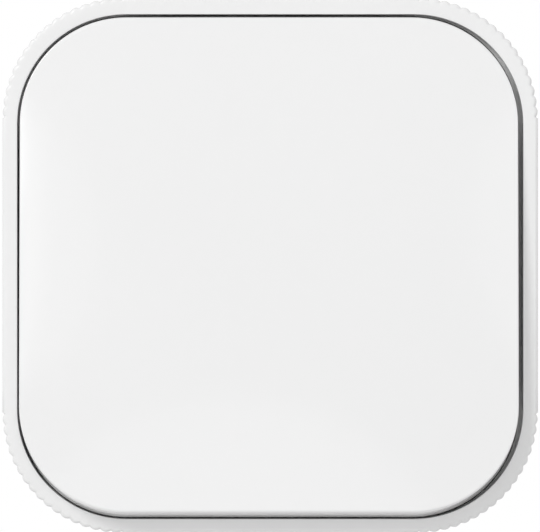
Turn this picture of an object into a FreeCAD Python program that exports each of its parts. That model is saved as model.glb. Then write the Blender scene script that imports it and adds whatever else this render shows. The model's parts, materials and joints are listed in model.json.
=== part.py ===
import FreeCAD, Part
import math
import os
import re
import Sketcher

# One-gang surface-mounted rocker switch, in millimetres.
# The wall is the plane Y = 0 and the front looks along -Y. +X is right and +Z is up.
# A depth is the distance in front of the wall, or, on a turning piece, in front of its own pivot.

doc = FreeCAD.newDocument("wall_switch")
sheet = doc.addObject("Spreadsheet::Sheet", "Sizes")

SIZES = {
    # hood
    "hood_width": 66.0,
    "hood_depth": 36.0,
    "hood_wall": 1.8,
    "hood_back_gap": 0.2,
    "hood_corner": 14.9,
    "hood_edge": 0.45,
    "opening_corner": 13.66,
    "opening_edge": 0.3,
    "flute_radius": 0.62,
    "flute_sink": 0.24,
    "flute_pitch": 5.2,
    "flute_count": 18,
    "deck_sink": 8.0,
    "deck_thickness": 2.0,
    "deck_window_width": 44.0,
    "deck_window_height": 30.0,
    "deck_window_corner": 2.0,
    "hood_boss_radius": 3.8,
    "hood_boss_length": 3.0,
    "hood_boss_gap": 0.6,
    "cut_overrun": 0.5,
    # cable entries in the hood's top and bottom walls
    "entry_width": 18.0,
    "entry_depth": 17.0,
    "entry_clearance": 0.15,
    "entry_lap": 1.6,
    "entry_lap_wall": 1.1,
    "entry_ring_radius": 5.0,
    "entry_ring_groove": 0.5,
    "entry_ring_sink": 0.9,
    # base plate
    "base_clearance": 0.3,
    "base_floor": 2.6,
    "base_rib_wall": 1.6,
    "base_rib_height": 3.6,
    "rib_notch_gap": 0.5,
    "post_radius": 3.4,
    "wall_slot_radius": 2.25,
    "wall_slot_length": 8.0,
    "wall_slot_spacing": 46.0,
    "cable_hole_width": 16.0,
    "cable_hole_height": 9.0,
    "cable_hole_corner": 4.3,
    "cable_hole_x": 14.5,
    "cable_hole_inset": 3.7,
    "insert_boss_radius": 3.0,
    "insert_boss_height": 4.0,
    "insert_boss_floor": 0.8,
    # screws
    "screw_radius": 1.5,
    "screw_head_radius": 2.8,
    "screw_head_height": 2.0,
    "screw_head_edge": 0.35,
    "screw_slot_width": 0.8,
    "screw_slot_sink": 0.9,
    "thread_clearance": 0.03,
    "thread_runout": 1.0,
    "shank_clearance": 0.2,
    "head_clearance": 0.3,
    "hood_screw_sink": 3.0,
    "hood_screw_length": 14.0,
    "retainer_radius": 2.4,
    "retainer_thickness": 0.6,
    "retainer_clearance": 0.12,
    "retainer_play": 0.05,
    "insert_screw_length": 17.0,
    "insert_head_radius": 2.5,
    # switch insert; its floors and its pivot are measured from its own back
    "insert_width": 48.0,
    "insert_depth": 16.4,
    "insert_corner": 2.0,
    "insert_end_wall": 2.0,
    "insert_boss_room": 0.1,
    "chamber_width": 6.4,
    "chamber_end_gap": 2.0,
    "chamber_floor": 2.4,
    "contact_ledge": 6.9,
    "contact_ledge_lap": 2.8,
    "clamp_room_floor": 1.4,
    "terminal_inset": 5.8,
    "wire_hole_radius": 2.1,
    "channel_clearance": 0.2,
    # bearing frame
    "frame_plate": 2.2,
    "window_side_gap": 1.5,
    "window_end_gap": 2.5,
    "access_radius": 3.2,
    "ear_inner": 10.6,
    "ear_thickness": 3.0,
    "ear_cover_gap": 0.4,
    "stop_drop": 5.5,
    "stop_ridge_width": 14.0,
    "stop_ridge_thickness": 2.4,
    "rivet_radius": 1.25,
    "rivet_head_radius": 2.1,
    "rivet_head_height": 0.7,
    "rivet_bore_radius": 0.7,
    "rivet_sink": 0.3,
    "rivet_room": 0.1,
    # pivot and rocker
    "pivot_sink": 3.0,
    "rocker_tilt": 4.0,
    "shaft_radius": 1.5,
    "shaft_clearance": 0.05,
    "shaft_overhang": 0.4,
    "shaft_end": 0.3,
    "rocker_side_gap": 0.7,
    "rocker_end_gap": 0.8,
    "rocker_corner_gap": 0.61,
    "face_front": 5.3,
    "skirt_length": 6.5,
    "skirt_draft": 4.4,
    "face_crown": 0.5,
    "face_edge": 0.9,
    "cover_wall": 1.8,
    "cover_front_wall": 2.2,
    "clip_width": 8.0,
    "clip_wall": 1.2,
    "clip_nose": 0.7,
    "clip_root": 0.2,
    "clip_clearance": 0.1,
    "clip_reach": 1.2,
    # rocker carrier
    "ear_gap": 0.4,
    "carrier_height": 26.0,
    "carrier_corner": 1.6,
    "carrier_plate": 1.3,
    "boss_cover_gap": 0.3,
    "barrel_radius": 4.0,
    "barrel_bore": 2.75,
    "barrel_seat": 2.4,
    "barrel_gap": 1.5,
    "stop_inset": 1.5,
    "stop_rib": 1.6,
    "stop_side": 1.0,
    "stop_gap": 0.05,
    # plunger and spring
    "plunger_clearance": 0.07,
    "plunger_sink": 0.3,
    "plunger_head": 2.2,
    "plunger_stem_radius": 1.2,
    "plunger_round": 1.15,
    "plunger_tip_gap": 0.1,
    "spigot_clearance": 0.3,
    "spigot_length": 1.2,
    "spring_side_gap": 0.3,
    "spring_wire": 0.5,
    "spring_turns": 5,
    "spring_seat_gap": 0.1,
    # contact blade
    "blade_pivot": 10.9,
    "blade_ratio": 2.0,
    "blade_width": 5.2,
    "blade_end": 2.0,
    "blade_corner": 1.0,
    "blade_front": 1.2,
    "blade_thickness": 0.8,
    "blade_hub": 3.6,
    "blade_hub_back": 0.9,
    "notch_angle": 42.0,
    "knife_angle": 20.0,
    "knife_tip": 0.3,
    "knife_gap": 0.05,
    "contact_arm": 11.0,
    "tip_radius": 1.5,
    "tip_height": 0.8,
    "tip_edge": 0.25,
    "tip_shank_radius": 0.75,
    "tip_shank_proud": 0.3,
    "contact_gap": 0.05,
    # brass strips and clamps
    "strip_width": 5.0,
    "strip_thickness": 1.2,
    "strip_end": 3.4,
    "strip_end_gap": 0.3,
    "cage_width": 7.0,
    "cage_height": 7.4,
    "cage_wall": 1.0,
    "cage_top_wall": 2.0,
    "cage_side_gap": 1.0,
    "cage_floor_gap": 0.2,
    "cage_play": 0.3,
    "clamp_screw_radius": 1.7,
    "clamp_head_radius": 2.7,
    "clamp_head_height": 2.2,
    "clamp_head_lift": 1.1,
}

# What follows from these sizes, as expressions of them.
OPENING_WIDTH = "(hood_width - 2 * hood_wall)"
DECK_FRONT = "(hood_depth - deck_sink)"
DECK_BACK = "(hood_depth - deck_sink - deck_thickness)"
BOSS_BACK = "(hood_depth - deck_sink - deck_thickness - hood_boss_length)"
HOOD_SCREW_SEAT = "(hood_depth - deck_sink - hood_screw_sink)"
POST_PLACE = (
    "(hood_width / 2 - hood_wall - opening_corner"
    " + (opening_corner - hood_boss_radius - hood_boss_gap) / sqrt(2))"
)
BASE_WIDTH = f"({OPENING_WIDTH} - 2 * base_clearance)"
BASE_CORNER = "(opening_corner - base_clearance)"
RIB_FRONT = "(base_floor + base_rib_height)"
INSERT_BOSS_FRONT = "(base_floor + insert_boss_height)"
CABLE_HOLE_Z = f"({OPENING_WIDTH} / 2 - cable_hole_inset - cable_hole_height / 2)"

BLADE_LENGTH = "(2 * (contact_arm + blade_end))"
CHAMBER_LENGTH = f"({BLADE_LENGTH} + 2 * chamber_end_gap)"
INSERT_HEIGHT = f"({CHAMBER_LENGTH} + 2 * insert_end_wall)"
INSERT_FRONT = "(base_floor + insert_depth)"
FRAME_FRONT = "(base_floor + insert_depth + frame_plate)"
CHAMBER_FLOOR = "(base_floor + chamber_floor)"
LEDGE_FRONT = "(base_floor + contact_ledge)"
STRIP_FRONT = "(base_floor + contact_ledge + strip_thickness)"
CLAMP_ROOM_FLOOR = "(base_floor + clamp_room_floor)"
CLAMP_ROOM_WIDTH = "(cage_width + 2 * cage_side_gap)"
CLAMP_ROOM_HEIGHT = "(cage_height + 2 * cage_side_gap)"
CHANNEL_WIDTH = "(strip_width + 2 * channel_clearance)"
CAGE_BACK = f"({CLAMP_ROOM_FLOOR} + cage_floor_gap)"
CAGE_INSIDE = f"({CAGE_BACK} + cage_wall)"
CAGE_TOP_BACK = f"({STRIP_FRONT} + cage_play)"

TERMINAL_X = "(insert_width / 2 - terminal_inset)"
INNER_RIVET_X = f"((chamber_width / 2 + {TERMINAL_X} - {CLAMP_ROOM_WIDTH} / 2) / 2)"
TERMINALS = ((TERMINAL_X, "0"), (f"-{TERMINAL_X}", "contact_arm"), (f"-{TERMINAL_X}", "-contact_arm"))
FIXINGS = ((f"-{TERMINAL_X}", "0"), (TERMINAL_X, "contact_arm"))
RIVETS = ((f"-{INNER_RIVET_X}", "0"), (TERMINAL_X, "-contact_arm"))
RIVET_BACK = "(base_floor + rivet_sink)"

PIVOT_DEPTH = "(hood_depth - pivot_sink)"
FACE_WIDTH = f"({OPENING_WIDTH} - 2 * rocker_side_gap)"
FACE_HEIGHT = f"({OPENING_WIDTH} - 2 * rocker_end_gap)"
FACE_CORNER = "(opening_corner - rocker_corner_gap)"
COVER_BACK = "(face_front - skirt_length)"
COVER_INSIDE = "(face_front - cover_front_wall)"
EAR_RADIUS = f"({COVER_INSIDE} - ear_cover_gap)"
CARRIER_BOSS_RADIUS = f"({COVER_INSIDE} - boss_cover_gap)"
CARRIER_WIDTH = "(2 * (ear_inner - ear_gap))"
CARRIER_BACK = f"({COVER_INSIDE} - carrier_plate)"
BARREL_END = f"({PIVOT_DEPTH} - {INSERT_FRONT} - barrel_gap)"
STOP_PLACE = "(carrier_height / 2 - stop_inset)"
STOP_RIDGE_TOP = f"({PIVOT_DEPTH} - stop_drop)"
PLUNGER_HEAD_END = f"({BARREL_END} - plunger_sink)"
PLUNGER_HEAD_TOP = f"({PLUNGER_HEAD_END} - plunger_head)"
SPRING_RADIUS = "(barrel_bore - spring_wire / 2 - spring_side_gap)"

BLADE_PIVOT = "(base_floor + blade_pivot)"
BLADE_TILT = "(blade_ratio * rocker_tilt)"
BLADE_BACK = "(blade_front - blade_thickness)"
PLUNGER_TIP = f"({PIVOT_DEPTH} - {BLADE_PIVOT} - blade_front - plunger_tip_gap)"

for row, (alias, value) in enumerate(SIZES.items(), start=1):
    sheet.set(f"A{row}", alias)
    sheet.set(f"B{row}", str(value))
    sheet.setAlias(f"B{row}", alias)
doc.recompute()


def with_sheet(expression):
    """Name the sheet before every size in an expression."""
    def qualified(match):
        word = match.group()
        return f"Sizes.{word}" if word in SIZES else word
    return re.sub(r"[A-Za-z_]\w*", qualified, expression)


def number(expression):
    """The value of an expression of sizes, read from the sheet."""
    return float(sheet.evalExpression(with_sheet(expression)))


def bind(item, place, expression):
    item.setExpression(place, with_sheet(expression))


def both_ends(x, z):
    """A place and the one opposite it across the middle."""
    return ((x, z), (f"-({x})", f"-({z})"))


POSTS = both_ends(POST_PLACE, POST_PLACE)
TIPS = both_ends("0", "contact_arm")


def new_body(label, depth=None, tilt=None):
    """A body in the wall's frame, or one on a pivot line at a depth, turned about X."""
    body = doc.addObject("PartDesign::Body", label)
    body.Label = label
    if depth is not None:
        bind(body, "Placement.Base.y", f"-({depth})")
        body.Placement.Rotation = FreeCAD.Rotation(FreeCAD.Vector(1, 0, 0), 1)
        bind(body, "Placement.Rotation.Angle", f"({tilt}) * 1 deg")
    return body


def from_origin(body, role):
    """An origin plane or axis of a body."""
    return [item for item in body.Origin.OriginFeatures if item.Role == role][0]


def new_sketch(body, name, depth, x="0", z="0", role="XZ_Plane", turn=None):
    """A sketch on an origin plane, moved out by a depth and along the plane to (x, z)."""
    sketch = body.newObject("Sketcher::SketchObject", name)
    sketch.AttachmentSupport = [(from_origin(body, role), "")]
    sketch.MapMode = "FlatFace"
    if turn is not None:
        sketch.AttachmentOffset = FreeCAD.Placement(
            FreeCAD.Vector(), FreeCAD.Rotation(FreeCAD.Vector(0, 0, 1), 1)
        )
        bind(sketch, "AttachmentOffset.Rotation.Angle", f"({turn}) * 1 deg")
    bind(sketch, "AttachmentOffset.Base.x", x)
    bind(sketch, "AttachmentOffset.Base.y", z)
    bind(sketch, "AttachmentOffset.Base.z", depth)
    return sketch


def constrain(sketch, kind, *references, size=None):
    """Add a constraint; a size is an expression that drives it."""
    if size is None:
        return sketch.addConstraint(Sketcher.Constraint(kind, *references))
    value = number(size)
    index = sketch.addConstraint(Sketcher.Constraint(kind, *references, value))
    bind(sketch, f"Constraints[{index}]", size)
    return index


def draw_rectangle(sketch, width, height, corner=None):
    """A rectangle about the sketch's origin, with round corners if a corner is given."""
    half_w = number(width) / 2
    half_h = number(height) / 2
    inset = number(corner) if corner else 0.0
    first = sketch.GeometryCount
    point = FreeCAD.Vector
    sides = [
        ((-half_w + inset, -half_h), (half_w - inset, -half_h)),
        ((half_w, -half_h + inset), (half_w, half_h - inset)),
        ((half_w - inset, half_h), (-half_w + inset, half_h)),
        ((-half_w, half_h - inset), (-half_w, -half_h + inset)),
    ]
    for start, end in sides:
        sketch.addGeometry(Part.LineSegment(point(*start, 0), point(*end, 0)))
    if corner:
        centres = [(1, -1, -90), (1, 1, 0), (-1, 1, 90), (-1, -1, 180)]
        for side_x, side_z, start in centres:
            centre = point(side_x * (half_w - inset), side_z * (half_h - inset), 0)
            circle = Part.Circle(centre, point(0, 0, 1), inset)
            arc = Part.ArcOfCircle(circle, math.radians(start), math.radians(start + 90))
            sketch.addGeometry(arc)
        for side in range(4):
            arc = first + 4 + side
            constrain(sketch, "Tangent", first + side, 2, arc, 1)
            constrain(sketch, "Tangent", arc, 2, first + (side + 1) % 4, 1)
        for side in range(1, 4):
            constrain(sketch, "Equal", first + 4, first + 4 + side)
        constrain(sketch, "Radius", first + 4, size=corner)
        constrain(sketch, "Symmetric", first + 4, 3, first + 6, 3, -1, 1)
    else:
        for side in range(4):
            constrain(sketch, "Coincident", first + side, 2, first + (side + 1) % 4, 1)
        constrain(sketch, "Symmetric", first, 1, first + 1, 2, -1, 1)
    constrain(sketch, "Horizontal", first)
    constrain(sketch, "Vertical", first + 1)
    constrain(sketch, "Horizontal", first + 2)
    constrain(sketch, "Vertical", first + 3)
    constrain(sketch, "DistanceX", first + 3, 1, first + 1, 1, size=width)
    constrain(sketch, "DistanceY", first, 1, first + 2, 1, size=height)


def draw_slot(sketch, radius, length):
    """An upright slot with round ends about the sketch's origin."""
    half = number(length) / 2 - number(radius)
    wide = number(radius)
    point = FreeCAD.Vector
    right = sketch.addGeometry(Part.LineSegment(point(wide, -half, 0), point(wide, half, 0)))
    left = sketch.addGeometry(Part.LineSegment(point(-wide, half, 0), point(-wide, -half, 0)))
    ends = []
    for middle, start in ((half, 0.0), (-half, math.pi)):
        circle = Part.Circle(point(0, middle, 0), point(0, 0, 1), wide)
        ends.append(sketch.addGeometry(Part.ArcOfCircle(circle, start, start + math.pi)))
    top, bottom = ends
    constrain(sketch, "Tangent", right, 2, top, 1)
    constrain(sketch, "Tangent", top, 2, left, 1)
    constrain(sketch, "Tangent", left, 2, bottom, 1)
    constrain(sketch, "Tangent", bottom, 2, right, 1)
    constrain(sketch, "Vertical", right)
    constrain(sketch, "Equal", top, bottom)
    constrain(sketch, "Symmetric", top, 3, bottom, 3, -1, 1)
    constrain(sketch, "Radius", top, size=radius)
    constrain(sketch, "DistanceY", bottom, 3, top, 3, size=f"({length}) - 2 * ({radius})")


def draw_circle(sketch, radius, x="0", z="0"):
    at_x = number(x)
    at_z = number(z)
    circle = Part.Circle(FreeCAD.Vector(at_x, at_z, 0), FreeCAD.Vector(0, 0, 1), number(radius))
    index = sketch.addGeometry(circle)
    constrain(sketch, "Radius", index, size=radius)
    constrain(sketch, "DistanceX", -1, 1, index, 3, size=x)
    constrain(sketch, "DistanceY", -1, 1, index, 3, size=z)


def draw_polygon(sketch, points):
    """A closed outline through points, each a pair of expressions."""
    first = sketch.GeometryCount
    places = [FreeCAD.Vector(number(x), number(z), 0) for x, z in points]
    for index, start in enumerate(places):
        sketch.addGeometry(Part.LineSegment(start, places[(index + 1) % len(places)]))
    for index, (x, z) in enumerate(points):
        before = first + (index - 1) % len(points)
        constrain(sketch, "Coincident", before, 2, first + index, 1)
        constrain(sketch, "DistanceX", -1, 1, first + index, 1, size=x)
        constrain(sketch, "DistanceY", -1, 1, first + index, 1, size=z)


def add_feature(body, kind, name, sketch, length, **options):
    feature = body.newObject(f"PartDesign::{kind}", name)
    feature.Profile = sketch
    bind(feature, "Length", length)
    for option, value in options.items():
        setattr(feature, option, value)
    sketch.Visibility = False
    doc.recompute()
    return feature


def pad(body, sketch, length, name="Pad", **options):
    """Material from the sketch towards the front."""
    return add_feature(body, "Pad", name, sketch, length, **options)


def pocket(body, sketch, length, name="Pocket", **options):
    """A cut from the sketch towards the wall, which must take material away."""
    before = body.Shape.Volume
    feature = add_feature(body, "Pocket", name, sketch, length, **options)
    if not feature.Shape.Volume < before - 1e-6:
        raise ValueError(f"{body.Label}: {name} cuts nothing")
    return feature


def add_block(body, name, width, height, back, front, x="0", z="0", corner=None):
    sketch = new_sketch(body, name + "_outline", back, x, z)
    draw_rectangle(sketch, width, height, corner)
    return pad(body, sketch, f"({front}) - ({back})", name)


def cut_block(body, name, width, height, back, front, x="0", z="0", corner=None):
    sketch = new_sketch(body, name + "_outline", front, x, z)
    draw_rectangle(sketch, width, height, corner)
    return pocket(body, sketch, f"({front}) - ({back})", name)


def add_discs(body, name, radius, back, front, places=(("0", "0"),)):
    sketch = new_sketch(body, name + "_outline", back)
    for x, z in places:
        draw_circle(sketch, radius, x, z)
    return pad(body, sketch, f"({front}) - ({back})", name)


def cut_discs(body, name, radius, back, front, places=(("0", "0"),)):
    sketch = new_sketch(body, name + "_outline", front)
    for x, z in places:
        draw_circle(sketch, radius, x, z)
    return pocket(body, sketch, f"({front}) - ({back})", name)


def add_roller(body, name, radius, left, right, depth):
    """Round material along X between two places."""
    sketch = new_sketch(body, name + "_outline", left, f"-({depth})", "0", role="YZ_Plane")
    draw_circle(sketch, radius)
    return pad(body, sketch, f"({right}) - ({left})", name)


def cut_tunnel(body, name, radius, left, right, depth):
    """A round hole along X between two places."""
    sketch = new_sketch(body, name + "_outline", right, f"-({depth})", "0", role="YZ_Plane")
    draw_circle(sketch, radius)
    return pocket(body, sketch, f"({right}) - ({left})", name)


def edges_where(body, test):
    """The names of the edges of the body's tip that pass a test."""
    shape = body.Tip.Shape
    return [f"Edge{n}" for n, edge in enumerate(shape.Edges, start=1) if test(edge)]


def round_edges(body, name, radius, test):
    names = edges_where(body, test)
    if not names:
        raise ValueError(f"{body.Label}: {name} finds no edge")
    base = body.Tip
    feature = body.newObject("PartDesign::Fillet", name)
    feature.Base = (base, names)
    bind(feature, "Radius", radius)
    doc.recompute()
    return feature


def points_on(edge):
    """The start, middle and end of an edge."""
    first, last = edge.FirstParameter, edge.LastParameter
    return [edge.valueAt(place) for place in (first, (first + last) / 2, last)]


def at_depth(depth):
    """A test for edges that lie wholly at a depth."""
    return lambda edge: all(abs(point.y + depth) < 1e-3 for point in points_on(edge))


def far_out(edge):
    """How far an edge reaches from the middle, along X or Z."""
    return max(max(abs(point.x), abs(point.z)) for point in points_on(edge))


def make_base_plate():
    body = new_body("base_plate")
    add_block(body, "Floor", BASE_WIDTH, BASE_WIDTH, "0", "base_floor", corner=BASE_CORNER)
    add_block(body, "Rib", BASE_WIDTH, BASE_WIDTH, "base_floor", RIB_FRONT, corner=BASE_CORNER)
    inside = f"{BASE_WIDTH} - 2 * base_rib_wall"
    cut_block(body, "RibInside", inside, inside, "base_floor", RIB_FRONT,
              corner=f"{BASE_CORNER} - base_rib_wall")
    notch = "entry_width + 2 * entry_lap + 2 * rib_notch_gap"
    cut_block(body, "RibNotches", notch, "hood_width", "base_floor", RIB_FRONT)
    add_discs(body, "Posts", "post_radius", "base_floor", BOSS_BACK, POSTS)
    cut_discs(body, "PostThreads", "screw_radius + thread_clearance",
              f"{HOOD_SCREW_SEAT} - hood_screw_length - thread_runout", BOSS_BACK, POSTS)
    add_discs(body, "InsertBosses", "insert_boss_radius", "base_floor", INSERT_BOSS_FRONT, FIXINGS)
    cut_discs(body, "BossThreads", "screw_radius + thread_clearance", "insert_boss_floor",
              INSERT_BOSS_FRONT, FIXINGS)
    for name, side in (("SlotUpper", "1"), ("SlotLower", "-1")):
        sketch = new_sketch(body, name + "_outline", "base_floor",
                            z=f"{side} * wall_slot_spacing / 2")
        draw_slot(sketch, "wall_slot_radius", "wall_slot_length")
        pocket(body, sketch, "base_floor", name)
    cut_block(body, "CableHole", "cable_hole_width", "cable_hole_height", "0", "base_floor",
              x="-cable_hole_x", z=CABLE_HOLE_Z, corner="cable_hole_corner")
    return body


def make_hood():
    body = new_body("hood")
    add_block(body, "Shell", "hood_width", "hood_width", "hood_back_gap", "hood_depth",
              corner="hood_corner")
    rim = at_depth(number("hood_depth"))
    round_edges(body, "OuterEdge", "hood_edge", rim)
    cut_block(body, "Front", OPENING_WIDTH, OPENING_WIDTH, DECK_FRONT, "hood_depth",
              corner="opening_corner")
    inside = number("hood_width / 2 - hood_wall / 2")
    round_edges(body, "InnerEdge", "opening_edge",
                lambda edge: rim(edge) and far_out(edge) < inside)
    cut_block(body, "Back", OPENING_WIDTH, OPENING_WIDTH, "hood_back_gap", DECK_BACK,
              corner="opening_corner")
    cut_block(body, "Window", "deck_window_width", "deck_window_height", DECK_BACK, DECK_FRONT,
              corner="deck_window_corner")
    add_discs(body, "Bosses", "hood_boss_radius", BOSS_BACK, DECK_BACK, POSTS)
    cut_discs(body, "HeadRecess", "screw_head_radius + head_clearance", HOOD_SCREW_SEAT,
              DECK_FRONT, POSTS)
    cut_discs(body, "ShankHoles", "screw_radius + shank_clearance", BOSS_BACK, HOOD_SCREW_SEAT,
              POSTS)
    cut_discs(body, "RetainerRecess", "retainer_radius + retainer_clearance", BOSS_BACK,
              f"{BOSS_BACK} + retainer_thickness + retainer_clearance", POSTS)
    for name, side in (("EntryTop", "1"), ("EntryBottom", "-1")):
        cut_block(body, name, "entry_width", "2 * (hood_wall + cut_overrun)", "hood_back_gap",
                  "entry_depth", z=f"{side} * hood_width / 2")
    cut_flutes(body)
    return body


def cut_flutes(body):
    """Fine grooves round the four outer corners, which leave the ribs between them."""
    centre = "(hood_width / 2 - hood_corner)"
    start = "45 - (flute_count - 1) / 2 * flute_pitch"
    sketch = new_sketch(body, "Flute", "hood_depth", centre, centre, turn=start)
    draw_circle(sketch, "flute_radius", "hood_corner + flute_radius - flute_sink")
    before = body.Shape.Volume
    first = pocket(body, sketch, "hood_depth - hood_back_gap", "FluteCut")
    many = body.newObject("PartDesign::MultiTransform", "Flutes")
    many.Originals = [first]
    row = body.newObject("PartDesign::PolarPattern", "FluteRow")
    row.Axis = (sketch, ["N_Axis"])
    bind(row, "Angle", "(flute_count - 1) * flute_pitch")
    bind(row, "Occurrences", "flute_count")
    corners = body.newObject("PartDesign::PolarPattern", "FluteCorners")
    corners.Axis = (from_origin(body, "Y_Axis"), [""])
    corners.Angle = 360
    corners.Occurrences = 4
    many.Transformations = [row, corners]
    body.Tip = many
    doc.recompute()
    if not body.Shape.Volume < before - 1:
        raise ValueError("the flutes cut nothing")


def make_entry_slide(label, side, with_ring):
    """A plate that closes the notch in a hood wall; its lap lies inside the wall."""
    body = new_body(label)
    add_block(body, "Plate", "entry_width - 2 * entry_clearance", "hood_wall", "hood_back_gap",
              "entry_depth - entry_clearance", z=f"{side} * (hood_width - hood_wall) / 2")
    add_block(body, "Lap", "entry_width + 2 * entry_lap", "entry_lap_wall",
              "base_floor + entry_clearance", "entry_depth + entry_lap",
              z=f"{side} * ({OPENING_WIDTH} - entry_lap_wall) / 2")
    if with_ring:
        sketch = new_sketch(body, "BreakOut", f"{side} * hood_width / 2", "0",
                            "-(hood_back_gap + entry_depth) / 2", role="XY_Plane")
        draw_circle(sketch, "entry_ring_radius")
        draw_circle(sketch, "entry_ring_radius - entry_ring_groove")
        pocket(body, sketch, "entry_ring_sink", "BreakOutGroove")
    return body


def add_screws(body, radius, head_radius, seat, height, tip, places):
    """Cheese-head screws with a driver slot, from their seat to the front and to the tip."""
    top = f"(({seat}) + ({height}))"
    add_discs(body, "Shank", radius, tip, seat, places)
    add_discs(body, "Head", head_radius, seat, top, places)
    round_edges(body, "HeadEdge", "screw_head_edge", at_depth(number(top)))
    for index, (x, z) in enumerate(places):
        cut_block(body, f"DriverSlot{index}", "screw_slot_width",
                  f"2 * ({head_radius} + cut_overrun)", f"{top} - screw_slot_sink", top, x=x, z=z)


def make_hood_screws():
    body = new_body("hood_screws")
    add_screws(body, "screw_radius", "screw_head_radius", HOOD_SCREW_SEAT, "screw_head_height",
               f"{HOOD_SCREW_SEAT} - hood_screw_length", POSTS)
    return body


def make_screw_retainers():
    body = new_body("screw_retainers")
    back = f"{BOSS_BACK} + retainer_play"
    front = f"{back} + retainer_thickness"
    add_discs(body, "Rings", "retainer_radius", back, front, POSTS)
    cut_discs(body, "RingHoles", "screw_radius + thread_clearance", back, front, POSTS)
    return body


def make_insert_screws():
    body = new_body("insert_screws")
    add_screws(body, "screw_radius", "insert_head_radius", FRAME_FRONT, "screw_head_height",
               f"{FRAME_FRONT} - insert_screw_length", FIXINGS)
    return body


def make_switch_insert():
    body = new_body("switch_insert")
    add_block(body, "Block", "insert_width", INSERT_HEIGHT, "base_floor", INSERT_FRONT,
              corner="insert_corner")
    cut_block(body, "Chamber", "chamber_width", "2 * (contact_arm - contact_ledge_lap)",
              CHAMBER_FLOOR, INSERT_FRONT)
    cut_block(body, "ContactEnds", "chamber_width", CHAMBER_LENGTH, LEDGE_FRONT, INSERT_FRONT)
    for index, (x, z) in enumerate(TERMINALS):
        cut_block(body, f"ClampRoom{index}", CLAMP_ROOM_WIDTH, CLAMP_ROOM_HEIGHT,
                  CLAMP_ROOM_FLOOR, INSERT_FRONT, x=x, z=z)
        floor = CHAMBER_FLOOR if index == 0 else LEDGE_FRONT
        cut_block(body, f"Channel{index}", TERMINAL_X, CHANNEL_WIDTH, floor, INSERT_FRONT,
                  x=f"({x}) / 2", z=z)
    cut_discs(body, "ScrewHoles", "screw_radius + shank_clearance", "base_floor", INSERT_FRONT,
              FIXINGS)
    cut_discs(body, "BossRooms", "insert_boss_radius + shank_clearance", "base_floor",
              f"{INSERT_BOSS_FRONT} + insert_boss_room", FIXINGS)
    cut_discs(body, "RivetHoles", "rivet_radius + thread_clearance", "base_floor", INSERT_FRONT,
              RIVETS)
    cut_discs(body, "RivetHeadRooms", "rivet_head_radius + shank_clearance", "base_floor",
              f"{RIVET_BACK} + rivet_head_height + rivet_room", RIVETS)
    cut_wire_holes(body)
    return body


def cut_wire_holes(body):
    """A wire hole from each side into each clamp room."""
    middle = f"({CAGE_INSIDE} + {LEDGE_FRONT}) / 2"
    for index, (x, z) in enumerate(TERMINALS):
        place = "insert_width / 2" if index == 0 else x
        sketch = new_sketch(body, f"WireHole{index}_outline", place, f"-({middle})", z,
                            role="YZ_Plane")
        draw_circle(sketch, "wire_hole_radius")
        pocket(body, sketch, "terminal_inset", f"WireHole{index}")


def make_bearing_frame():
    body = new_body("bearing_frame")
    add_block(body, "Plate", "insert_width", INSERT_HEIGHT, INSERT_FRONT, FRAME_FRONT,
              corner="insert_corner")
    cut_block(body, "Window", "2 * (barrel_radius + window_side_gap)",
              "2 * (barrel_radius + window_end_gap)", INSERT_FRONT, FRAME_FRONT)
    cut_discs(body, "Access", "access_radius", INSERT_FRONT, FRAME_FRONT, TERMINALS)
    cut_discs(body, "ScrewHoles", "screw_radius + shank_clearance", INSERT_FRONT, FRAME_FRONT,
              FIXINGS)
    cut_discs(body, "RivetHoles", "rivet_radius + thread_clearance", INSERT_FRONT, FRAME_FRONT,
              RIVETS)
    for name, side in (("EarRight", "1"), ("EarLeft", "-1")):
        middle = f"{side} * (ear_inner + ear_thickness / 2)"
        left = f"{middle} - ear_thickness / 2"
        right = f"{middle} + ear_thickness / 2"
        add_block(body, name, "ear_thickness", f"2 * {EAR_RADIUS}", FRAME_FRONT, PIVOT_DEPTH,
                  x=middle)
        add_roller(body, name + "Round", EAR_RADIUS, left, right, PIVOT_DEPTH)
        cut_tunnel(body, name + "Hole", "shaft_radius + thread_clearance", left, right,
                   PIVOT_DEPTH)
    for name, side in (("StopUpper", "1"), ("StopLower", "-1")):
        add_block(body, name, "stop_ridge_width", "stop_ridge_thickness", FRAME_FRONT,
                  STOP_RIDGE_TOP, z=f"{side} * {STOP_PLACE}")
    return body


def make_frame_rivets():
    """Two tubular rivets that hold the bearing frame to the insert."""
    body = new_body("frame_rivets")
    front = f"{FRAME_FRONT} + rivet_head_height"
    add_discs(body, "Shank", "rivet_radius", RIVET_BACK, FRAME_FRONT, RIVETS)
    add_discs(body, "BackHead", "rivet_head_radius", RIVET_BACK,
              f"{RIVET_BACK} + rivet_head_height", RIVETS)
    add_discs(body, "FrontHead", "rivet_head_radius", FRAME_FRONT, front, RIVETS)
    cut_discs(body, "Bore", "rivet_bore_radius", RIVET_BACK, front, RIVETS)
    return body


def make_pivot_shaft():
    body = new_body("pivot_shaft")
    half = "(ear_inner + ear_thickness + shaft_overhang)"
    add_roller(body, "Shaft", "shaft_radius", f"-{half}", half, PIVOT_DEPTH)
    end = number(half)
    round_edges(body, "Ends", "shaft_end",
                lambda edge: all(abs(abs(point.x) - end) < 1e-3 for point in points_on(edge)))
    return body


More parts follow.
